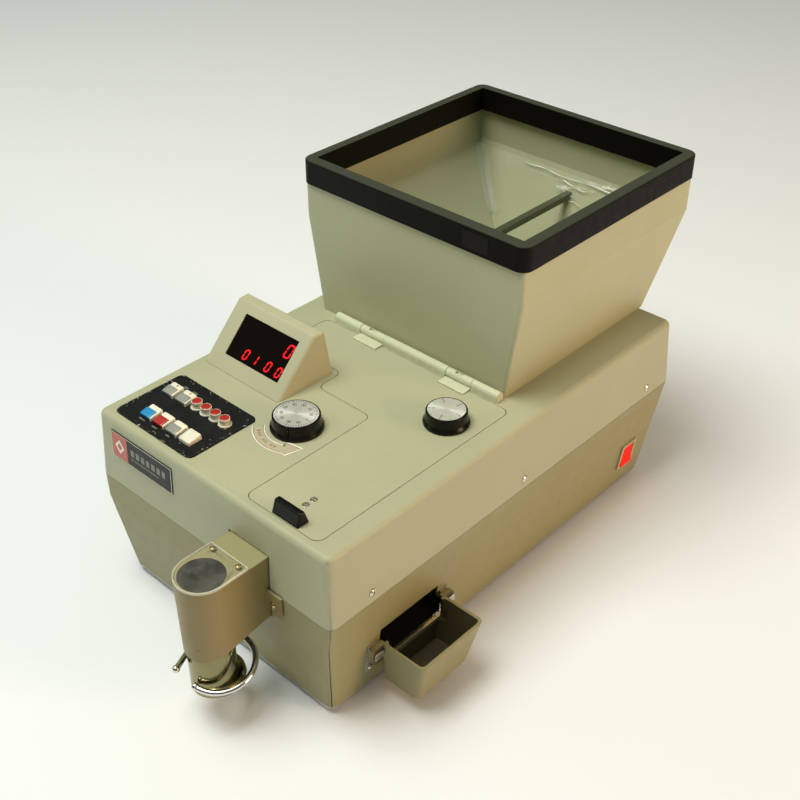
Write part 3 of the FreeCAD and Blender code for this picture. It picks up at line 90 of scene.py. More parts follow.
# ---- nodes of a material -----------------------------------------------------------------------

class Nodes:
    """Builds one material's nodes around its Principled shader."""

    def __init__(self, name, color, rough=0.5, metal=0.0, **sockets):
        self.mat = bpy.data.materials.new(name)
        self.mat.use_nodes = True
        self.tree = self.mat.node_tree
        self.shader = self.tree.nodes["Principled BSDF"]
        self.shader.inputs["Base Color"].default_value = (*color, 1)
        self.shader.inputs["Roughness"].default_value = rough
        self.shader.inputs["Metallic"].default_value = metal
        for key, number in sockets.items():
            self.shader.inputs[key.replace("_", " ")].default_value = number
        self.place = self.add("ShaderNodeTexCoord").outputs["Object"]
        self.normal = None

    def add(self, kind, **values):
        node = self.tree.nodes.new(kind)
        for key, number in values.items():
            if isinstance(number, bpy.types.NodeSocket):
                self.tree.links.new(number, node.inputs[key])
            elif key in node.inputs:
                node.inputs[key].default_value = number
            else:
                setattr(node, key, number)
        return node

    def noise(self, scale, detail=3.0, rough=0.5, where=None):
        node = self.add("ShaderNodeTexNoise", Scale=scale, Detail=detail, Roughness=rough)
        self.tree.links.new(where or self.place, node.inputs["Vector"])
        return node.outputs["Fac"]

    def stretched(self, x, y, z):
        node = self.add("ShaderNodeMapping", Scale=(x, y, z))
        self.tree.links.new(self.place, node.inputs["Vector"])
        return node.outputs["Vector"]

    def span(self, source, low, high, to_low=0.0, to_high=1.0):
        node = self.add("ShaderNodeMapRange", Value=source)
        for index, number in enumerate((low, high, to_low, to_high), start=1):
            node.inputs[index].default_value = number
        return node.outputs["Result"]

    def feed(self, socket, item):
        """Links a socket, or sets a value."""
        if isinstance(item, bpy.types.NodeSocket):
            self.tree.links.new(item, socket)
        else:
            socket.default_value = item

    def math(self, operation, *items):
        node = self.add("ShaderNodeMath", operation=operation)
        for socket, item in zip(node.inputs, items):
            self.feed(socket, item)
        return node.outputs["Value"]

    def vector(self, operation, *items):
        node = self.add("ShaderNodeVectorMath", operation=operation)
        for socket, item in zip(node.inputs, items):
            self.feed(socket, item)
        return node.outputs["Value" if operation in ("DOT_PRODUCT", "LENGTH") else "Vector"]

    def mix(self, amount, one, two):
        """Colour between one and two; each is a colour or a socket."""
        node = self.add("ShaderNodeMix", data_type="RGBA")
        self.tree.links.new(amount, node.inputs["Factor"])
        for socket, item in ((node.inputs[6], one), (node.inputs[7], two)):
            self.feed(socket, item if isinstance(item, bpy.types.NodeSocket) else (*item, 1))
        return node.outputs[2]

    def color(self, socket):
        self.tree.links.new(socket, self.shader.inputs["Base Color"])

    def rough(self, socket):
        self.tree.links.new(socket, self.shader.inputs["Roughness"])

    def soften(self, radius):
        """Rounds the look of sharp edges."""
        node = self.add("ShaderNodeBevel", samples=4, Radius=radius)
        self.normal = node.outputs["Normal"]
        self.tree.links.new(self.normal, self.shader.inputs["Normal"])

    def bump(self, height, strength, distance):
        node = self.add("ShaderNodeBump", Strength=strength, Distance=distance, Height=height)
        if self.normal:
            self.tree.links.new(self.normal, node.inputs["Normal"])
        self.normal = node.outputs["Normal"]
        self.tree.links.new(self.normal, self.shader.inputs["Normal"])

    def facing_up(self):
        """1 on faces that look up, 0 on upright ones."""
        shape = self.add("ShaderNodeNewGeometry")
        split = self.add("ShaderNodeSeparateXYZ", Vector=shape.outputs["Normal"])
        return self.span(split.outputs["Z"], 0.4, 0.95)

    def edges(self, radius, low=0.002, high=0.05):
        """1 along sharp edges, where paint wears and dirt rubs off."""
        bevel = self.add("ShaderNodeBevel", samples=4, Radius=radius)
        shape = self.add("ShaderNodeNewGeometry")
        level = self.vector("DOT_PRODUCT", bevel.outputs["Normal"], shape.outputs["Normal"])
        return self.span(self.math("SUBTRACT", 1.0, level), low, high)

    def looking_in(self, middle, flat=False, reach=1.0):
        """1 on faces that look towards the middle, or, flat, its upright axis; reach limits x."""
        inward = self.vector("SUBTRACT", middle, self.place)
        inward = self.vector("MULTIPLY", inward, (1, 1, 0 if flat else 1))
        shape = self.add("ShaderNodeNewGeometry")
        facing = self.math("GREATER_THAN",
                           self.vector("DOT_PRODUCT", inward, shape.outputs["True Normal"]), 0.002)
        split = self.add("ShaderNodeSeparateXYZ", Vector=inward)
        return self.math("MULTIPLY", facing, self.math("COMPARE", split.outputs["X"], 0.0, reach))


def shade(color, amount):
    return tuple(min(1.0, part * amount) for part in color)


def paint(name, color, worn, rough=0.42, grain=1.0, painted_light_top=None, painted_shade_inside=None):
    """Stoved paint with an orange-peel skin, mottling, specks and rubbed edges.

    `painted_light_top`: painted light, a lighter tone on what faces up; `painted_shade_inside`:
    (tone, middle, flat, reach) of painted shade on inner walls.
    """
    n = Nodes(name, color)
    n.soften(0.0009)
    cloud = n.span(n.noise(7, 5, 0.6), 0.3, 0.7)
    tone = n.mix(cloud, shade(color, 0.95), shade(color, 1.04))
    speck = n.span(n.noise(1500, 2, 0.7), 0.34, 0.66)
    tone = n.mix(n.math("MULTIPLY", speck, 0.55 * grain), tone, shade(color, 0.86))
    grime = n.span(n.noise(38, 6, 0.7), 0.62, 0.8, 0, 0.16)
    tone = n.mix(grime, tone, shade(color, 0.72))
    rubbed = n.math("MULTIPLY", n.edges(0.0013), n.span(n.noise(160, 3, 0.6), 0.45, 0.75, 0, 0.5))
    # Painted light: faces that look up get a lighter tone.
    if painted_light_top:
        tone = n.mix(n.facing_up(), tone, painted_light_top)
    tone = n.mix(rubbed, tone, worn)
    # Painted shade: inner walls that face the middle get a dark tone.
    if painted_shade_inside:
        tone = n.mix(n.looking_in(*painted_shade_inside[1:]), tone, painted_shade_inside[0])
    n.color(tone)
    n.rough(n.span(n.noise(55, 4, 0.6), 0.3, 0.7, rough - 0.06, rough + 0.09))
    n.bump(n.noise(950, 2, 0.55), 0.22 * grain, 0.0004)
    return n.mat


def plastic(name, color, rough=0.4, worn=1.25, bump=0.12, clear=0.0, dust=0.12, sheen=0.5,
            top=None):
    """Moulded plastic: fine grain, a little dust, polished edges; `top` tints what faces up, as
    painted light.
    """
    n = Nodes(name, color, Coat_Weight=clear, Coat_Roughness=0.08, Specular_IOR_Level=sheen)
    n.soften(0.0006)
    tone = n.mix(n.span(n.noise(24, 4, 0.6), 0.3, 0.7), shade(color, 0.9), shade(color, 1.1))
    dusty = n.span(n.noise(95, 5, 0.7), 0.55, 0.78, 0, dust)
    tone = n.mix(dusty, tone, tuple(min(1, c * 0.6 + 0.2) for c in color))
    edge = n.math("MULTIPLY", n.edges(0.0008), 0.35)
    tone = n.mix(edge, tone, shade(color, worn))
    # Painted light: faces that look up get the lighter top tone, standing in for sheen.
    if top:
        tone = n.mix(n.facing_up(), tone, top)
    n.color(tone)
    n.rough(n.span(n.noise(130, 4, 0.6), 0.3, 0.7, rough - 0.05, rough + 0.1))
    n.bump(n.noise(1800, 2, 0.5), bump, 0.0002)
    return n.mat


def metal(name, color, rough=0.3, stretch=(1, 1, 1), scale=900, bump=0.08, tarnish=0.12):
    """Bare or plated metal: fine drawn lines, smudges and duller patches."""
    n = Nodes(name, color, metal=1.0)
    n.soften(0.0005)
    dull = n.span(n.noise(45, 5, 0.65), 0.4, 0.75, 0, tarnish * 2)
    n.color(n.mix(dull, color, shade(color, 0.62)))
    lines = n.noise(scale, 3, 0.6, n.stretched(*stretch))
    smudge = n.noise(70, 4, 0.6)
    n.rough(n.span(n.math("ADD", lines, smudge), 0.6, 1.4, max(0.02, rough - 0.08), rough + 0.1))
    n.bump(lines, bump, 0.00015)
    return n.mat


def rubber(name, color, ribs=False):
    """Dull black rubber with a dusty bloom; ribs run its grain along y."""
    n = Nodes(name, color, rough=0.8)
    n.soften(0.0006)
    n.color(n.mix(n.span(n.noise(60, 5, 0.7), 0.35, 0.75), shade(color, 0.8), shade(color, 1.9)))
    n.rough(n.span(n.noise(200, 3, 0.6), 0.3, 0.7, 0.68, 0.88))
    grain = n.noise(1400, 3, 0.6, n.stretched(1, 0.15, 1) if ribs else None)
    n.bump(grain, 0.35, 0.0003)
    return n.mat


def spun(name, color, centre):
    """Spun aluminium: rings around the centre that stretch a highlight into a fan."""
    n = Nodes(name, color, rough=0.33, metal=0.55, Anisotropic=0.85)
    outward = n.vector("MULTIPLY", n.vector("SUBTRACT", n.place, centre), (1, 1, 0))
    rings = n.add("ShaderNodeTexNoise", noise_dimensions="1D", Scale=2600, Detail=2.0)
    n.tree.links.new(n.vector("LENGTH", outward), rings.inputs["W"])
    n.color(n.mix(n.span(rings.outputs["Fac"], 0.3, 0.7), shade(color, 0.84), shade(color, 1.1)))
    n.bump(rings.outputs["Fac"], 0.2, 0.00008)
    tangent = n.add("ShaderNodeTangent", direction_type="RADIAL", axis="Z")
    n.tree.links.new(tangent.outputs["Tangent"], n.shader.inputs["Tangent"])
    return n.mat


def clear(name, tint, rough):
    """Clear sheet with fine scratches, a haze of dust and pale opaque sawn edges, partly a painted
    highlight.
    """
    n = Nodes(name, tint, rough=rough)
    haze = n.span(n.noise(70, 5, 0.7), 0.4, 0.8, 0.03, 0.10)
    # Sawn edges turn pale and opaque: partly the frosted edge, partly a painted highlight.
    sawn_edge_and_highlight = n.math("MULTIPLY", n.edges(0.0022), 0.95)
    n.tree.links.new(n.math("MAXIMUM", haze, sawn_edge_and_highlight), n.shader.inputs["Alpha"])
    n.color(n.mix(n.noise(40, 3), tint, shade(tint, 0.88)))
    scratches = n.noise(700, 3, 0.7, n.stretched(1, 0.08, 1))
    n.rough(n.span(scratches, 0.45, 0.8, rough, rough + 0.22))
    n.bump(scratches, 0.05, 0.0001)
    return n.mat


def glow(name, color, strength, core):
    """Lit plastic, brighter in the middle of its cells."""
    n = Nodes(name, core, rough=0.35, Emission_Strength=strength, Specular_IOR_Level=0.08)
    patch = n.span(n.noise(260, 2, 0.5), 0.3, 0.7)
    n.color(n.mix(patch, core, shade(core, 1.25)))
    n.tree.links.new(n.mix(patch, shade(color, 0.85), color), n.shader.inputs["Emission Color"])
    return n.mat


CREAM = (0.455, 0.46, 0.315)
KHAKI = (0.315, 0.29, 0.142)
upper_paint = paint("upper_paint", CREAM, (0.60, 0.60, 0.46), 0.46)
lid_paint = paint("lid_paint", shade(CREAM, 1.015), (0.60, 0.60, 0.46), 0.46)
lower_paint = paint("lower_paint", KHAKI, (0.40, 0.36, 0.21), 0.44)
SPOUT_X, SPOUT_Y = 227.5, -58
# Spout: a darker, browner copy of the housing's khaki, as painted shade on its sides; its top is
# painted light and its inner walls painted shade.
spout_paint = paint("spout_paint", (0.262, 0.203, 0.072), (0.46, 0.41, 0.26), 0.38,
                    painted_light_top=(0.335, 0.308, 0.163),
                    painted_shade_inside=((0.020, 0.022, 0.022), on_top(SPOUT_X, SPOUT_Y), True, 0.0255))
# Tray: a shade darker than the housing's khaki, as painted shade on its front; its inner walls get
# a dark tone as painted shade.
tray_middle = centre_of("reject_tray")
tray_middle.x += 0.004
tray_middle.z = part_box("reject_tray")[1][2] - 0.006
tray_paint = paint("tray_paint", (0.29, 0.26, 0.125), (0.40, 0.36, 0.20), 0.42,
                   painted_shade_inside=((0.085, 0.070, 0.034), tray_middle))
hopper_paint = paint("hopper_paint", (0.475, 0.485, 0.32), (0.60, 0.59, 0.46), 0.46)
bar_paint = paint("bar_paint", (0.075, 0.083, 0.043), (0.38, 0.38, 0.28), 0.36)
# Hinge covers: the cream paint made lighter, as a painted highlight.
hinge_paint = paint("hinge_paint", (0.66, 0.68, 0.50), (0.78, 0.78, 0.66), 0.26, 0.6)
display_paint = paint("display_paint", (0.49, 0.48, 0.335), (0.62, 0.61, 0.48), 0.48, 0.7)
# Rim: its upward faces are painted lighter, a painted sheen from above.
rim_plastic = plastic("rim_plastic", (0.0045, 0.004, 0.003), 0.45, 2.0, 0.25, dust=0.01, sheen=0.09,
                      top=(0.055, 0.061, 0.044))
handle_plastic = plastic("handle_plastic", (0.003, 0.003, 0.003), 0.2, 2.0, 0.03, 0.0, 0.005, 0.22)
knob_plastic = plastic("knob_plastic", (0.004, 0.004, 0.004), 0.24, 2.0, 0.04, 0.0, 0.008, 0.2)
inner_plastic = plastic("inner_plastic", (0.03, 0.03, 0.03), 0.5)
cream_plastic = plastic("cream_plastic", (0.84, 0.81, 0.68), 0.35, 1.08, 0.08, 0.2, 0.04)
film_ink = plastic("film_ink", (0.50, 0.47, 0.33), 0.3, 1.1, 0.05, 0.3, dust=0.1)
grey_plastic = plastic("grey_plastic", (0.30, 0.31, 0.29), 0.32, 1.3, 0.08, 0.2, 0.1)
blue_plastic = plastic("blue_plastic", (0.012, 0.27, 0.62), 0.3, 1.3, 0.08, 0.3, 0.05)
red_plastic = plastic("red_plastic", (0.42, 0.018, 0.012), 0.3, 1.3, 0.08, 0.3, 0.05)
white_ink = plastic("white_ink", (0.84, 0.83, 0.76), 0.5, 1.1, 0.05, dust=0.2)
red_ink = plastic("red_ink", (0.36, 0.045, 0.02), 0.5, 1.1, 0.05, dust=0.1)
grey_ink = plastic("grey_ink", (0.24, 0.24, 0.21), 0.5, 1.1, 0.05, dust=0.2)
black_ink = plastic("black_ink", (0.02, 0.02, 0.02), 0.5, 1.1, 0.05, dust=0.2)
bezel_plastic = plastic("bezel_plastic", (0.50, 0.44, 0.27), 0.4, 1.15, 0.08, 0.1, 0.05)
board_green = plastic("board_green", (0.02, 0.16, 0.06), 0.3, 1.3)
window_dark = plastic("window_dark", (0.003, 0.0015, 0.0015), 0.3, 1.2, 0.02, 0.0, 0.0, 0.03)
plate_black = plastic("plate_black", (0.010, 0.009, 0.008), 0.3, 2.0, 0.06, 0.1, dust=0.02,
                      sheen=0.2)
plate_red = plastic("plate_red", (0.50, 0.075, 0.03), 0.32, 1.2, 0.06, 0.3)
# Painted glint: pale glossy white for the film's fold ridges.
film_glint = plastic("film_glint", (0.86, 0.88, 0.80), 0.2, 1.1, 0.4, dust=0.0)
label_dark = plastic("label_dark", (0.015, 0.013, 0.011), 0.6, 1.6, 0.15, dust=0.02, sheen=0.1)
chrome = metal("chrome", (0.72, 0.71, 0.68), 0.10, tarnish=0.10)
# Spout tube: chrome darkened and tinted olive, a painted reflection of dark khaki surroundings.
tube_chrome_painted_reflection = metal("tube_chrome_painted_reflection", (0.26, 0.24, 0.12), 0.12, tarnish=0.2)
zinc = metal("zinc", (0.62, 0.61, 0.58), 0.28, (1, 1, 0.1))
screw_steel = metal("screw_steel", (0.70, 0.66, 0.58), 0.24)
brass = metal("brass", (0.62, 0.50, 0.30), 0.24)
sheet_steel = metal("sheet_steel", (0.52, 0.52, 0.50), 0.34, (1, 0.06, 1))
turned_steel = metal("turned_steel", (0.60, 0.60, 0.59), 0.24, (0.08, 1, 1))
disc_alloy = metal("disc_alloy", (0.66, 0.66, 0.65), 0.3)
motor_black = paint("motor_black", (0.03, 0.03, 0.035), (0.2, 0.2, 0.2), 0.4)
cast_grey = paint("cast_grey", (0.10, 0.10, 0.10), (0.3, 0.3, 0.3), 0.6, 1.6)
# Reject chute: near-black, as painted shade in the tray opening.
chute_painted_shade = plastic("chute_painted_shade", (0.003, 0.003, 0.002), 0.7, 1.5, 0.1, dust=0.0, sheen=0.05)
foot_rubber = rubber("foot_rubber", (0.02, 0.02, 0.02))
belt_rubber = rubber("belt_rubber", (0.03, 0.03, 0.028), True)
cover_clear = clear("cover_clear", (0.86, 0.86, 0.78), 0.08)
red_glow = glow("red_glow", (1.0, 0.014, 0.02), 1.0, (0.4, 0.002, 0.001))
rocker_glow = glow("rocker_glow", (1.0, 0.016, 0.003), 0.45, (0.60, 0.008, 0.003))


def panel_black():
    """Black anodised plate, rubbed through in specks near its edges."""
    color = (0.008, 0.0085, 0.009)
    n = Nodes("panel_black", color, Specular_IOR_Level=0.14)
    n.soften(0.0004)
    low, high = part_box("control_panel")
    split = n.add("ShaderNodeSeparateXYZ", Vector=n.place)
    near = None
    for axis in (0, 1):
        for edge, sign in ((low[axis], 1), (high[axis], -1)):
            gap = n.math("MULTIPLY", n.math("SUBTRACT", split.outputs[axis], edge), sign)
            near = n.math("MINIMUM", near, gap) if near else gap
    rim = n.span(near, 0.001, 0.015, 0.15, 0.0)
    specks = n.math("ADD", n.noise(330, 3, 0.6), rim)
    chips = n.span(specks, 0.76, 0.82, 0, 0.9)
    haze = n.span(n.noise(30, 5, 0.65), 0.35, 0.75)
    tone = n.mix(haze, color, (0.016, 0.017, 0.018))
    n.color(n.mix(chips, tone, (0.40, 0.40, 0.35)))
    n.rough(n.span(n.noise(90, 4, 0.6), 0.3, 0.7, 0.36, 0.52))
    n.bump(n.noise(1200, 2, 0.5), 0.12, 0.0002)
    return n.mat


FINISH = {
    upper_paint: ["upper_housing"], lid_paint: ["access_lid"], lower_paint: ["lower_housing"],
    spout_paint: ["spout_body"], tray_paint: ["reject_tray"], hopper_paint: ["hopper_body"],
    bar_paint: ["hopper_baffle"], hinge_paint: ["hinge_cover", "lid_hinges"],
    display_paint: ["display_housing"], rim_plastic: ["hopper_rim"], handle_plastic: ["lid_handle"],
    knob_plastic: ["size_knob", "thickness_knob"], inner_plastic: ["power_inlet", "coin_sensor"],
    bezel_plastic: ["switch_bezel"], board_green: ["control_board"],
    window_dark: ["display_window"], plate_black: ["nameplate"], zinc: ["tray_clips", "hinge_pin"],
    chrome: ["bag_clamp"], tube_chrome_painted_reflection: ["spout_tube"], chute_painted_shade: ["reject_chute"],
    screw_steel: ["housing_screws", "clip_screws", "lid_screws"], brass: ["spout_screws"],
    sheet_steel: ["base_plate", "deck_plate", "conveyor_frame"],
    turned_steel: ["front_roller", "rear_roller", "disc_spindle"],
    disc_alloy: ["feed_disc", "size_rail", "thickness_gate", "motor_pulley"],
    motor_black: ["drive_motor"], cast_grey: ["disc_bearing", "transformer"],
    foot_rubber: ["rubber_feet"], belt_rubber: ["hopper_belt", "drive_belt"],
    cover_clear: ["spout_cover"], panel_black(): ["control_panel"], rocker_glow: ["power_rocker"],
}
for finish, names in FINISH.items():
    for name in names:
        NODES[name].data.materials.clear()
        NODES[name].data.materials.append(finish)
for name in ("size_dial", "thickness_dial"):
    NODES[name].data.materials.clear()
    NODES[name].data.materials.append(spun(name + "_spun", (0.80, 0.81, 0.79), centre_of(name)))


# ---- mesh pieces -------------------------------------------------------------------------------

def frame_body(node):
    """Name of the body that a node belongs to."""
    for body, names in frame["record"]["behaviour"]["bodies"].items():
        if node in names:
            return body
    raise KeyError(node)


def piece(name, rings, finish, body, smooth=35, close=True, spin=True):
    """Skin over rings of points; each ring has as many points as the next."""
    count = len(rings[0])
    verts = [tuple(point) for ring in rings for point in ring]
    faces = []
    for row in range(len(rings) - 1):
        for index in range(count if spin else count - 1):
            nxt = (index + 1) % count
            faces.append((row * count + index, row * count + nxt, (row + 1) * count + nxt,
                          (row + 1) * count + index))
    if close:
        faces.append(tuple(reversed(range(count))))
        faces.append(tuple(range((len(rings) - 1) * count, len(rings) * count)))
    return mesh(name, verts, faces, finish, body, smooth)


def mesh(name, verts, faces, finish, body, smooth=35):
    """Piece from plain verts and faces, smooth up to an angle in degrees, riding on a body."""
    data = bpy.data.meshes.new(name)
    data.from_pydata(verts, [], faces)
    made = bmesh.new()
    made.from_mesh(data)
    bmesh.ops.remove_doubles(made, verts=made.verts, dist=1e-7)
    bmesh.ops.recalc_face_normals(made, faces=made.faces)
    made.to_mesh(data)
    made.free()
    for face in data.polygons:
        face.use_smooth = True
    data.set_sharp_from_angle(angle=math.radians(smooth))
    data.materials.append(finish)
    item = bpy.data.objects.new(name, data)
    bpy.context.scene.collection.objects.link(item)
    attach(item, body)
    return item


def join(name, items, finish, body, smooth=35):
    """One piece from several (verts, faces) lists."""
    verts, faces = [], []
    for some, flat in items:
        start = len(verts)
        verts += [tuple(point) for point in some]
        faces += [tuple(start + index for index in face) for face in flat]
    return mesh(name, verts, faces, finish, body, smooth)


def lathe(name, profile, centre, finish, body, turns=64, smooth=35):
    """Turned piece from (radius, height) in mm about Z through the centre."""
    rings = []
    for radius, height in profile:
        rings.append([centre + Vector((radius * math.cos(math.tau * k / turns),
                                       radius * math.sin(math.tau * k / turns), height)) / 1000
                      for k in range(turns)])
    return piece(name, rings, finish, body, smooth)


def rounded_rect(width, length, radius, steps=6):
    """Outline in mm about its centre, corner by corner."""
    points = []
    for turn, (sx, sy) in enumerate(((1, 1), (-1, 1), (-1, -1), (1, -1))):
        for step in range(steps + 1):
            angle = math.pi / 2 * (turn + step / steps)
            points.append((sx * (width / 2 - radius) + radius * math.cos(angle),
                           sy * (length / 2 - radius) + radius * math.sin(angle)))
    return points


def slab(outline, low, high, placed, edge=0.0):
    """(verts, faces) of a flat outline given thickness, its top edge eased by `edge` mm."""
    rings = [(low, 0.0), (high - edge, 0.0), (high, edge)] if edge else [(low, 0.0), (high, 0.0)]
    middle = Vector((sum(p[0] for p in outline), sum(p[1] for p in outline), 0)) / len(outline)
    verts, faces = [], []
    count = len(outline)
    for height, inset in rings:
        for x, y in outline:
            away = Vector((x, y, 0)) - middle
            pull = away * (1 - inset / max(away.length, inset + 0.01))
            spot = middle + pull
            verts.append(placed @ Vector((spot.x / 1000, spot.y / 1000, height / 1000)))
    for row in range(len(rings) - 1):
        for index in range(count):
            nxt = (index + 1) % count
            faces.append((row * count + index, row * count + nxt, (row + 1) * count + nxt,
                          (row + 1) * count + index))
    faces.append(tuple(reversed(range(count))))
    faces.append(tuple(range((len(rings) - 1) * count, len(rings) * count)))
    return verts, faces


def rect(x0, y0, x1, y1):
    return [(x0, y0), (x1, y0), (x1, y1), (x0, y1)]


def circle(radius, steps=20):
    return [(radius * math.cos(math.tau * k / steps), radius * math.sin(math.tau * k / steps))
            for k in range(steps)]


def figures_mesh(text, size, placed):
    """(verts, faces) of flat figures, centred on the place."""
    curve = bpy.data.curves.new("figures", "FONT")
    curve.body = text
    curve.size = size / 1000
    curve.align_x = "CENTER"
    curve.align_y = "CENTER"
    curve.extrude = 0.00003
    holder = bpy.data.objects.new("figures", curve)
    bpy.context.scene.collection.objects.link(holder)
    bpy.context.view_layer.update()
    shaped = holder.evaluated_get(bpy.context.evaluated_depsgraph_get())
    data = bpy.data.meshes.new_from_object(shaped)
    verts = [placed @ vertex.co for vertex in data.vertices]
    faces = [tuple(face.vertices) for face in data.polygons]
    bpy.data.objects.remove(holder)
    bpy.data.curves.remove(curve)
    bpy.data.meshes.remove(data)
    return verts, faces


# ---- keys and buttons --------------------------------------------------------------------------

PANEL_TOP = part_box("control_panel")[1][2]


def key(node, tile, lamp=None):
    """Two-shot key: cream cap that falls towards the front, with a coloured tile on its slope."""
    low, high = corners(node)
    middle = (low + high) / 2
    width = (high.x - low.x) * 1000
    tall = (high.z - low.z) * 1000
    base = Matrix.Translation((middle.x, middle.y, low.z))

    def crown(y):
        """Height of the cap's face: level at the back, dished down to the front."""
        t = max(0.0, (0.18 * width - y) / (0.68 * width))
        return tall - 0.25 - 2.6 * t ** 1.25

    rings = []
    for grow, level in ((0.0, 0.0), (0.0, 0.55), (0.15, 0.8)):
        rings.append([base @ Vector((x / 1000, y / 1000, tall * level / 1000))
                      for x, y in rounded_rect(width - 2 * grow, width - 2 * grow, 1.3)])
    for grow, drop in ((0.35, 0.9), (0.6, 0.35), (1.1, 0.05), (1.9, 0.0), (4.2, 0.0), (7.4, 0.0)):
        radius = max(0.15, 1.5 - grow * 0.2)
        rings.append([base @ Vector((x / 1000, y / 1000, (crown(y) - drop) / 1000))
                      for x, y in rounded_rect(width - 2 * grow, width - 2 * grow, radius)])
    body = frame_body(node)
    cap = piece(node + "_cap", rings, cream_plastic, body, 50)
    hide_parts(node)
    if tile:
        left, right = -width / 2 + 0.25, width / 2 - 1.9
        front, back = -width / 2 - 0.25, width * 0.08
        rows = []
        for step in range(9):
            y = front + (back - front) * step / 8
            rise = 0.55 if 0 < step < 8 else 0.1
            level = crown(max(y, -width / 2 + 0.6)) + rise
            across = [left + (right - left) * k / 8 for k in range(9)]
            rows.append([(x, y, level - (0.35 if k in (0, 8) else 0))
                         for k, x in enumerate(across)])
        verts = [base @ (Vector(point) / 1000) for row in rows for point in row]
        faces = [(r * 9 + k, r * 9 + k + 1, (r + 1) * 9 + k + 1, (r + 1) * 9 + k)
                 for r in range(8) for k in range(8)]
        start = len(verts)
        verts += [base @ (Vector((x, front, tall * 0.45)) / 1000) for x, _, _ in rows[0]]
        faces += [(start + k, start + k + 1, k + 1, k) for k in range(8)]
        top = mesh(node + "_tile", verts, faces, tile, body, 60)
        thick = top.modifiers.new("thick", "SOLIDIFY")
        thick.thickness = 0.0005
        thick.offset = -1
    if lamp:
        spot = Matrix.Translation((0.0012, width * 0.29 / 1000, (tall - 0.25) / 1000))
        join(node + "_lamp", [slab(circle(1.0), -0.3, 0.28, base @ spot, 0.2)], lamp, body)


def button(node):
    """Round button: a cream stem and skirt with a red top, in a collar on the panel."""
    low, high = corners(node)
    middle = Vector(((low.x + high.x) / 2, (low.y + high.y) / 2, low.z))
    radius = (high.x - low.x) * 500
    tall = (high.z - low.z) * 1000
    body = frame_body(node)
    stem = lathe(node + "_stem",
                 [(0.01, 0), (radius - 0.5, 0), (radius - 0.5, 8.6), (radius - 0.7, 12),
                  (radius - 0.35, 15.6), (radius - 0.05, 16.3), (radius - 0.05, tall - 0.9),
                  (radius - 0.35, tall - 0.45), (radius - 0.55, tall - 0.4),
                  (radius - 0.7, tall - 0.8), (0.01, tall - 0.8)],
                 middle, cream_plastic, body, 40, 40)
    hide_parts(node)
    lathe(node + "_top",
          [(0.01, tall - 1.0), (radius - 0.75, tall - 1.0), (radius - 0.75, tall - 0.5),
           (radius - 1.2, tall - 0.16), (radius - 2.6, tall - 0.02), (0.01, tall)],
          middle, red_plastic, body, 40, 60)
    lathe(node + "_collar",
          [(radius + 0.25, 0.02), (radius + 1.25, 0.02), (radius + 1.25, 0.9), (radius + 0.9, 1.5),
           (radius + 0.45, 1.7), (radius + 0.25, 1.3), (radius + 0.25, 0.02)],
          Vector((middle.x, middle.y, PANEL_TOP)), cream_plastic, "housing", 40, 40)


key("batch_key", grey_plastic, black_ink)
key("count_key", grey_plastic, red_plastic)
key("start_key", blue_plastic)
key("stop_key", red_plastic)
key("reset_key", grey_plastic)
key("add_key", None)

for number in range(1, 5):
    button("preset_button_%d" % number)


def panel_mark(x, y, width, length):
    """Small printed dash on the panel, x and y in mm from the housing's corner."""
    spot = on_top(x, y)
    placed = Matrix.Translation((spot.x, spot.y, PANEL_TOP))
    return slab(rect(-width / 2, -length / 2, width / 2, length / 2), 0.0, 0.06, placed)


dashes = [panel_mark(x + 1.5 * k, y, 1.0, length) for x, y, count, length in
          ((45, 18.6, 6, 1.9), (65.5, 18.6, 5, 1.9), (86.5, 18.6, 4, 1.9), (107, 19.5, 1, 1.9),
           (36, 82.5, 4, 3.0), (49.5, 82.5, 5, 3.0), (121.5, 64, 1, 3.0)) for k in range(count)]
join("panel_marks", dashes, grey_ink, "housing")


# ---- display -----------------------------------------------------------------------------------

on_window = face_frame("display_window", lambda normal: normal.z > 0.3 and normal.y < -0.3)
SEGMENTS = {"0": "abcdef", "1": "bc"}
BARS = {"a": (0, 1, 1, 1), "b": (1, 1, 1, 0.5), "c": (1, 0.5, 1, 0), "d": (0, 0, 1, 0),
        "e": (0, 0.5, 0, 0), "f": (0, 1, 0, 0.5)}


def digit(figure, x, y, width, height, thick):
    """Seven-segment figure, slanted, centred on (x, y) mm on the window."""
    made = []
    for name in SEGMENTS[figure]:
        x0, y0, x1, y1 = BARS[name]
        start = Vector(((x0 - 0.5) * width, (y0 - 0.5) * height))
        end = Vector(((x1 - 0.5) * width, (y1 - 0.5) * height))
        way = (end - start).normalized()
        side = Vector((-way.y, way.x)) * thick / 2
        start += way * thick * 0.12
        end -= way * thick * 0.12
        outline = [start, start + way * thick / 2 + side, end - way * thick / 2 + side, end,
                   end - way * thick / 2 - side, start + way * thick / 2 - side]
        outline = [(x + point.x + 0.17 * point.y, y + point.y) for point in outline]
        made.append(slab(outline, 0.0, 0.08, on_window))
    return made


cells = digit("0", 77.4, 36.3, 7.2, 14.0, 1.9)
for figure, x in (("0", 28.5), ("1", 42.4), ("0", 62.3), ("0", 78.0)):
    cells += digit(figure, x, 12.2, 5.3, 10.6, 1.8)
join("display_digits", cells, red_glow, "housing")


# ---- dials -------------------------------------------------------------------------------------

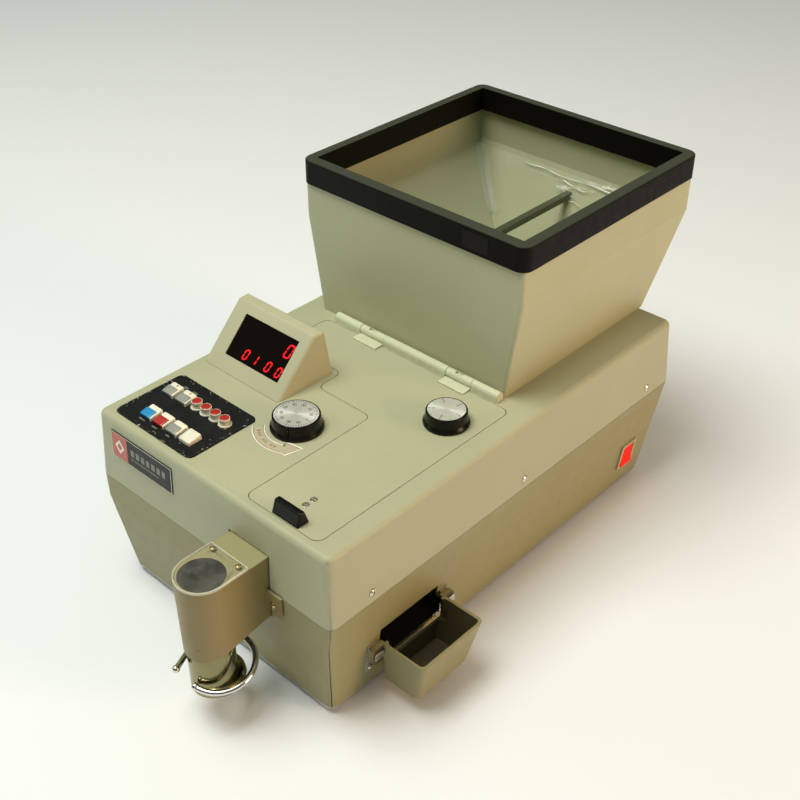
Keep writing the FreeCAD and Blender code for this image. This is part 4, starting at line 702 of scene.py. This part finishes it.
def dial_marks(name, node, body, ticks, long_every, figures, size):
    """Ticks around a dial, every few of them long, with figures inside them."""
    low, high = corners(node)
    middle = (low + high) / 2
    radius = (high.x - low.x) * 500
    items = []

    def turned(part, sunk):
        """Place at the dial's middle, sunk below its top in metres, a part of a turn round."""
        place = Matrix.Translation((middle.x, middle.y, high.z - sunk))
        return place @ Matrix.Rotation(math.tau * part, 4, "Z")

    for k in range(ticks):
        reach, wide = (0.80, 0.62) if k % long_every == 0 else (0.87, 0.42)
        tick = rect(radius * reach, -wide / 2, radius * 0.955, wide / 2)
        items.append(slab(tick, 0.0, 0.1, turned(k / ticks, 0.00026)))
    out = Matrix.Translation((radius * 0.66 / 1000, 0, 0)) @ Matrix.Rotation(-math.pi / 2, 4, "Z")
    for k, text in enumerate(figures):
        items.append(figures_mesh(text, size, turned(k / len(figures), 0.0001) @ out))
    join(name, items, black_ink, body)


dial_marks("size_dial_marks", "size_dial", "size_control", 50, 5,
           ["0", "10", "20", "30", "40", "50", "60", "70", "80", "90"], 4.6)
dial_marks("thickness_dial_marks", "thickness_dial", "thickness_control", 10, 2,
           ["1", "2", "3", "4", "5"], 4.6)


def side_mark(name, node, body, foot, degrees, wide, finish):
    """Painted index line up the side of a knob whose foot has a radius in mm."""
    middle = centre_of(node)
    middle.z = TOP_Z
    top = (corners(node)[1].z - TOP_Z) * 1000
    rings = []
    for height, radius in ((5.2, foot + 0.62), (top - 1.5, foot + 0.05)):
        for proud in (0.0, 0.09):
            around = [math.radians(degrees + wide * k) for k in (-1, -0.33, 0.33, 1)]
            rings.append([middle + Vector(((radius + proud) * math.cos(angle),
                                           (radius + proud) * math.sin(angle), height)) / 1000
                          for angle in around])
    rings = [rings[0], rings[1], rings[3], rings[2], rings[0]]
    piece(name, rings, finish, body, 30, close=False)


SIZE_KNOB_FOOT = 24.2
side_mark("size_knob_mark", "size_knob", "size_control", SIZE_KNOB_FOOT, -62, 1.4, red_ink)
side_mark("size_knob_line", "size_knob", "size_control", SIZE_KNOB_FOOT, -65, 0.9, white_ink)


# ---- arrow sticker -----------------------------------------------------------------------------

def arrow_outline(inset):
    """Curved arrow about the large knob's middle, in mm, run as one outline."""
    def at(radius, degrees):
        return (radius * math.cos(math.radians(degrees)), radius * math.sin(math.radians(degrees)))
    inner, outer = 31.5 + inset, 44.5 - inset
    start, end = -139 + inset * 1.2, -62
    points = [at(outer, start + (end - start) * k / 24) for k in range(25)]
    points += [at(47.5 - inset * 1.5, end + 4 - 0.9 * inset), at(36.0, -33 - inset * 3.2),
               at(25.5 + inset * 1.7, end - 3 - 0.9 * inset)]
    points += [at(inner, end - 2 + (start - 2 - end) * k / 24) for k in range(25)]
    points.append(at((inner + outer) / 2, start + 6))
    return points


knob_middle = centre_of("size_knob")
flat_on_top = Matrix.Translation((knob_middle.x, knob_middle.y, TOP_Z))


def flat_sheet(name, outline, low, high, placed, finish, body):
    """Thin printed sheet of any outline."""
    made = bmesh.new()
    verts = [made.verts.new((x / 1000, y / 1000, high / 1000)) for x, y in outline]
    face = made.faces.new(verts)
    bmesh.ops.triangulate(made, faces=[face])
    result = bmesh.ops.extrude_face_region(made, geom=made.faces[:])
    for item in result["geom"]:
        if isinstance(item, bmesh.types.BMVert):
            item.co.z = low / 1000
    made.transform(placed)
    bmesh.ops.recalc_face_normals(made, faces=made.faces)
    data = bpy.data.meshes.new(name)
    made.to_mesh(data)
    made.free()
    data.materials.append(finish)
    item = bpy.data.objects.new(name, data)
    bpy.context.scene.collection.objects.link(item)
    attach(item, body)
    return item


flat_sheet("arrow_sticker", arrow_outline(0.0), 0.0, 0.08, flat_on_top, white_ink, "housing")
flat_sheet("arrow_border", arrow_outline(1.3), 0.06, 0.10, flat_on_top, red_ink, "housing")
flat_sheet("arrow_face", arrow_outline(1.75), 0.06, 0.13, flat_on_top, film_ink, "housing")
dashes = []
for k in range(9):
    angle = math.radians(-128 + k * 6.2)
    turn = flat_on_top @ Matrix.Rotation(angle, 4, "Z") @ Matrix.Translation((0.0375, 0, 0))
    if k not in (3, 6):
        dashes.append(slab(rect(-1.6, -1.1, 1.6, -0.4), 0.1, 0.16, turn))
        dashes.append(slab(rect(-1.6, 0.5, 1.6, 1.1), 0.1, 0.16, turn))
join("arrow_dashes", dashes, red_ink, "housing")


# ---- nameplate, labels -------------------------------------------------------------------------

on_plate = face_frame("nameplate", lambda normal: normal.y < -0.9)
low, high = corners("nameplate")
plate_w = (high.x - low.x) * 1000


def diamond(half_w, half_h):
    """Diamond in mm about the middle of the nameplate's red square."""
    x, y = 13.1, 15.0
    return [(x, y - half_h), (x + half_w, y), (x, y + half_h), (x - half_w, y)]


join("nameplate_square", [slab(rect(0.8, 0.8, 25.5, 29.0), 0.0, 0.25, on_plate, 0.3)], plate_red,
     "housing")
join("nameplate_diamond", [slab(diamond(7.4, 8.5), 0.2, 0.34, on_plate)], white_ink, "housing")
join("nameplate_centre", [slab(diamond(3.9, 4.5), 0.3, 0.4, on_plate)], plate_red, "housing")
bars = [slab(rect(31 + 8.2 * k, 13.0, 36.5 + 8.2 * k, 20.5), 0.0, 0.15, on_plate) for k in range(7)]
bars.append(slab(rect(31, 8.6, plate_w - 20, 9.8), 0.0, 0.15, on_plate))
join("nameplate_bars", bars, grey_ink, "housing")
edge_lines = [slab(rect(0, 0, plate_w, 0.7), 0.0, 0.3, on_plate),
              slab(rect(0, 29.3, plate_w, 30.0), 0.0, 0.3, on_plate),
              slab(rect(0, 0.7, 0.7, 29.3), 0.0, 0.3, on_plate),
              slab(rect(plate_w - 0.7, 0.7, plate_w, 29.3), 0.0, 0.3, on_plate)]
join("nameplate_edge", edge_lines, zinc, "housing")

low, high = corners("hopper_rim")
label = Matrix.Translation((on_top(246.6, 0).x, low.y, high.z - 0.0140))
label = label @ Matrix.Rotation(math.pi / 2, 4, "X")
join("rim_label", [slab(rect(-16, -9, 16, 9), 0.0, 0.35, label, 0.3)], label_dark, "housing")


# ---- loose things in the hopper, and small holes ------------------------------------------------

def film_clear(name, tint, least, most, stretch):
    """Thin clear film with painted glints: its creases turn pale and opaque as white streaks."""
    n = Nodes(name, tint, rough=0.12)
    # Painted glint: crease lines are made pale and opaque.
    painted_crease_glint = n.span(n.noise(95, 5, 0.62, n.stretched(*stretch)), 0.55, 0.66, 0, 1)
    broken = n.span(n.noise(30, 3, 0.6), 0.42, 0.62, 0, 1)
    n.tree.links.new(n.span(n.math("MULTIPLY", painted_crease_glint, broken), 0.0, 1.0, least, most),
                     n.shader.inputs["Alpha"])
    n.color(n.mix(painted_crease_glint, shade(tint, 0.8), tint))
    n.rough(n.span(n.noise(220, 3, 0.6), 0.3, 0.7, 0.08, 0.3))
    n.bump(n.noise(160, 4, 0.6), 0.5, 0.0008)
    return n.mat


def on_back_slope(x, t, lift=0.0):
    """Place on the hopper's inner back slope: t is 0 at the fold and 1 at the throat."""
    top, low = on_top(x, 576.0, 107.0), on_top(x, 520.0, 5.0)
    out = (low - top).normalized().cross(Vector((1, 0, 0)))
    return top + (low - top) * t + out * lift / 1000


def film_rows(rng, start, end, cluster):
    """Crumpled film along the fold of the back slope, deepest at the cluster of creases."""
    rows = []
    for r in range(15):
        row = []
        for k in range(49):
            x = start + (end - start) * k / 48
            wave = math.sin(k * 0.9 + r * 0.7) + 0.7 * math.sin(k * 2.1 - r) + 0.5 * rng.random()
            near = math.exp(-((x - cluster) / 20) ** 2)
            depth = (0.16 + 0.16 * near) * r / 14 + 0.012 * math.sin(k * 0.35)
            spot = on_back_slope(x, depth - 0.05, 1.9)
            if r < 3:
                spot.y = min(spot.y, on_top(0, 574.7).y)
            row.append(spot + Vector((0, -0.4, 0.9)) * (wave + 1.2) * (0.35 + 1.6 * near) / 1000)
        rows.append(row)
    return rows


def strip_rows(rng):
    """Strip of film down the valley between the back slope and the left one."""
    rows = []
    for k in range(29):
        t = 0.62 * k / 28
        spine = on_top(12.5 + 84 * t, 575.8 - 56.0 * t, 107 - 102 * t)
        puff = 0.25 * math.sin(k * 1.3) + 0.2 * rng.random()
        rows.append([spine + Vector((max(w, 0.0), min(w, 0.0), 0)) / 1000
                     + Vector((0.5, -0.5, 0.75)) * (1.2 + puff) / 1000
                     for w in (-8.5, -4.5, -1.5, 0, 1.5, 4.5, 8.5)])
    return rows


def ridge(start, end, width, phase):
    """Thin wavy fold of film from start to end, in mm across and down the back slope; drawn pale,
    it is a painted glint.
    """
    left, right = [], []
    for k in range(25):
        u = k / 24
        x = start[0] + (end[0] - start[0]) * u
        y = start[1] + (end[1] - start[1]) * u + 0.8 * math.sin(9 * u + phase)
        pinch = 0.25 + 0.75 * abs(math.sin(5.3 * u + phase))
        half = width * pinch * math.sin(math.pi * (0.04 + 0.92 * u)) / 2
        left.append((x, y - half))
        right.append((x, y + half))
    return slab(left + right[::-1], 0.0, 0.35, on_fold)


rng = random.Random(7)
piece("hopper_film", film_rows(rng, 60, 245, 156),
      film_clear("film_clear", (0.93, 0.95, 0.90), 0.05, 0.9, (0.35, 1.0, 1.0)),
      "housing", 60, close=False, spin=False)
piece("hopper_strip", strip_rows(rng),
      film_clear("strip_clear", (0.95, 0.96, 0.90), 0.26, 0.95, (1.0, 1.0, 0.3)),
      "housing", 60, close=False, spin=False)

fold = on_back_slope(0, 0, 2.6)
down = (on_back_slope(0, 1, 2.6) - fold).normalized()
out = down.cross(Vector((1, 0, 0)))
on_fold = axes((1, 0, 0), down, out, fold)
# Painted glints: pale ridges along the film's folds.
ridges = [ridge((84, 3), (150, 5), 1.5, 0.3), ridge((140, 5), (245, 4), 1.9, 1.4),
          ridge((136, 9), (172, 12), 1.6, 2.2), ridge((150, 15), (184, 12), 1.3, 0.9),
          ridge((142, 20), (168, 24), 1.2, 1.9), ridge((160, 28), (180, 30), 1.0, 0.2)]
join("hopper_film_fold_glints", ridges, film_glint, "housing")


def dot(name, place, facing, radius, finish):
    """Small dark hole or plug, a shallow disc on a surface that faces `facing`."""
    turn = facing.to_track_quat("Z", "Y").to_matrix().to_4x4()
    placed = Matrix.Translation(place) @ turn
    join(name, [slab(circle(radius), -0.3, 0.16, placed, 0.1)], finish, "housing")


def on_spout(degrees, depth, radius):
    """Place and facing on a cylinder about the spout's axis."""
    angle = math.radians(degrees)
    out = Vector((math.cos(angle), math.sin(angle), 0))
    return on_top(SPOUT_X, SPOUT_Y, -depth) + out * radius / 1000, out


SPOUT_R = 24.98
TUBE_R = 22.9
DOTS = ((-94, 108, SPOUT_R, 1.7), (-60, 110, SPOUT_R, 1.6), (8, 134, TUBE_R, 1.2))
for number, (degrees, depth, radius, size) in enumerate(DOTS, start=1):
    spot, out = on_spout(degrees, depth, radius)
    dot("spout_dot_%d" % number, spot, out, size, black_ink)


# ---- stage, lights and camera ------------------------------------------------------------------

def stage_floor(half):
    """Plain pale floor, a hair under the feet; half is half of its side in metres."""
    n = Nodes("floor_paper", (0.87, 0.905, 0.99), rough=0.9, Specular_IOR_Level=0.1)
    n.color(n.mix(n.noise(2.0, 3), (0.86, 0.895, 0.985), (0.88, 0.915, 1.0)))
    data = bpy.data.meshes.new("floor")
    data.from_pydata([(-half, -half, 0), (half, -half, 0), (half, half, 0), (-half, half, 0)], [],
                     [(0, 1, 2, 3)])
    data.materials.append(n.mat)
    floor = bpy.data.objects.new("floor", data)
    bpy.context.scene.collection.objects.link(floor)
    floor.location.z = -0.0002


def area_light(name, place, aim, size, power, color):
    """Round soft light at a place, turned to the aim; metres and watts."""
    data = bpy.data.lights.new(name, "AREA")
    data.shape = "DISK"
    data.size = size
    data.energy = power
    data.color = color
    lamp = bpy.data.objects.new(name, data)
    bpy.context.scene.collection.objects.link(lamp)
    lamp.location = place
    lamp.rotation_euler = (Vector(aim) - Vector(place)).to_track_quat("-Z", "Y").to_euler()


def studio_world(strength, horizon, zenith, backdrop):
    """Light from a dark horizon to a pale zenith; the camera sees a plain backdrop instead."""
    world = bpy.data.worlds.new("studio")
    world.use_nodes = True
    sky, links = world.node_tree.nodes, world.node_tree.links
    light = sky["Background"]
    light.inputs["Strength"].default_value = strength
    way = sky.new("ShaderNodeTexCoord")
    split = sky.new("ShaderNodeSeparateXYZ")
    ramp = sky.new("ShaderNodeValToRGB")
    for stop, position, color in zip(ramp.color_ramp.elements, (0.45, 0.8), (horizon, zenith)):
        stop.position = position
        stop.color = (*color, 1)
    links.new(way.outputs["Generated"], split.inputs[0])
    links.new(split.outputs["Z"], ramp.inputs["Fac"])
    links.new(ramp.outputs["Color"], light.inputs["Color"])
    plain = sky.new("ShaderNodeBackground")
    plain.inputs["Color"].default_value = (*backdrop, 1)
    ray = sky.new("ShaderNodeLightPath")
    either = sky.new("ShaderNodeMixShader")
    links.new(ray.outputs["Is Camera Ray"], either.inputs[0])
    links.new(light.outputs[0], either.inputs[1])
    links.new(plain.outputs[0], either.inputs[2])
    links.new(either.outputs[0], sky["World Output"].inputs["Surface"])
    bpy.context.scene.world = world


def place_camera(location, tilt, turn, lens):
    """Camera in metres and degrees, with its lens in mm."""
    data = bpy.data.cameras.new("camera")
    data.lens = lens
    data.sensor_width = 36
    camera = bpy.data.objects.new("camera", data)
    camera.location = location
    camera.rotation_euler = (math.radians(tilt), 0, math.radians(turn))
    bpy.context.scene.collection.objects.link(camera)
    bpy.context.scene.camera = camera


AIM = (0, 0, 0.15)
stage_floor(14.0)
studio_world(0.44, (0.07, 0.07, 0.055), (0.88, 0.91, 0.76), (0.60, 0.61, 0.57))
area_light("key", (2.8, 0.9, 0.95), AIM, 1.2, 49, (1.0, 0.66, 0.37))
area_light("top", (-0.5, -0.8, 2.9), AIM, 1.8, 69, (1.0, 1.0, 0.88))
area_light("fill", (-2.4, -2.0, 1.9), AIM, 1.6, 9, (0.98, 1.0, 0.62))
place_camera((0.7209, -0.7771, 0.9142), 54.69, 42.89, 53.95)
bpy.context.scene.view_settings.view_transform = "Standard"
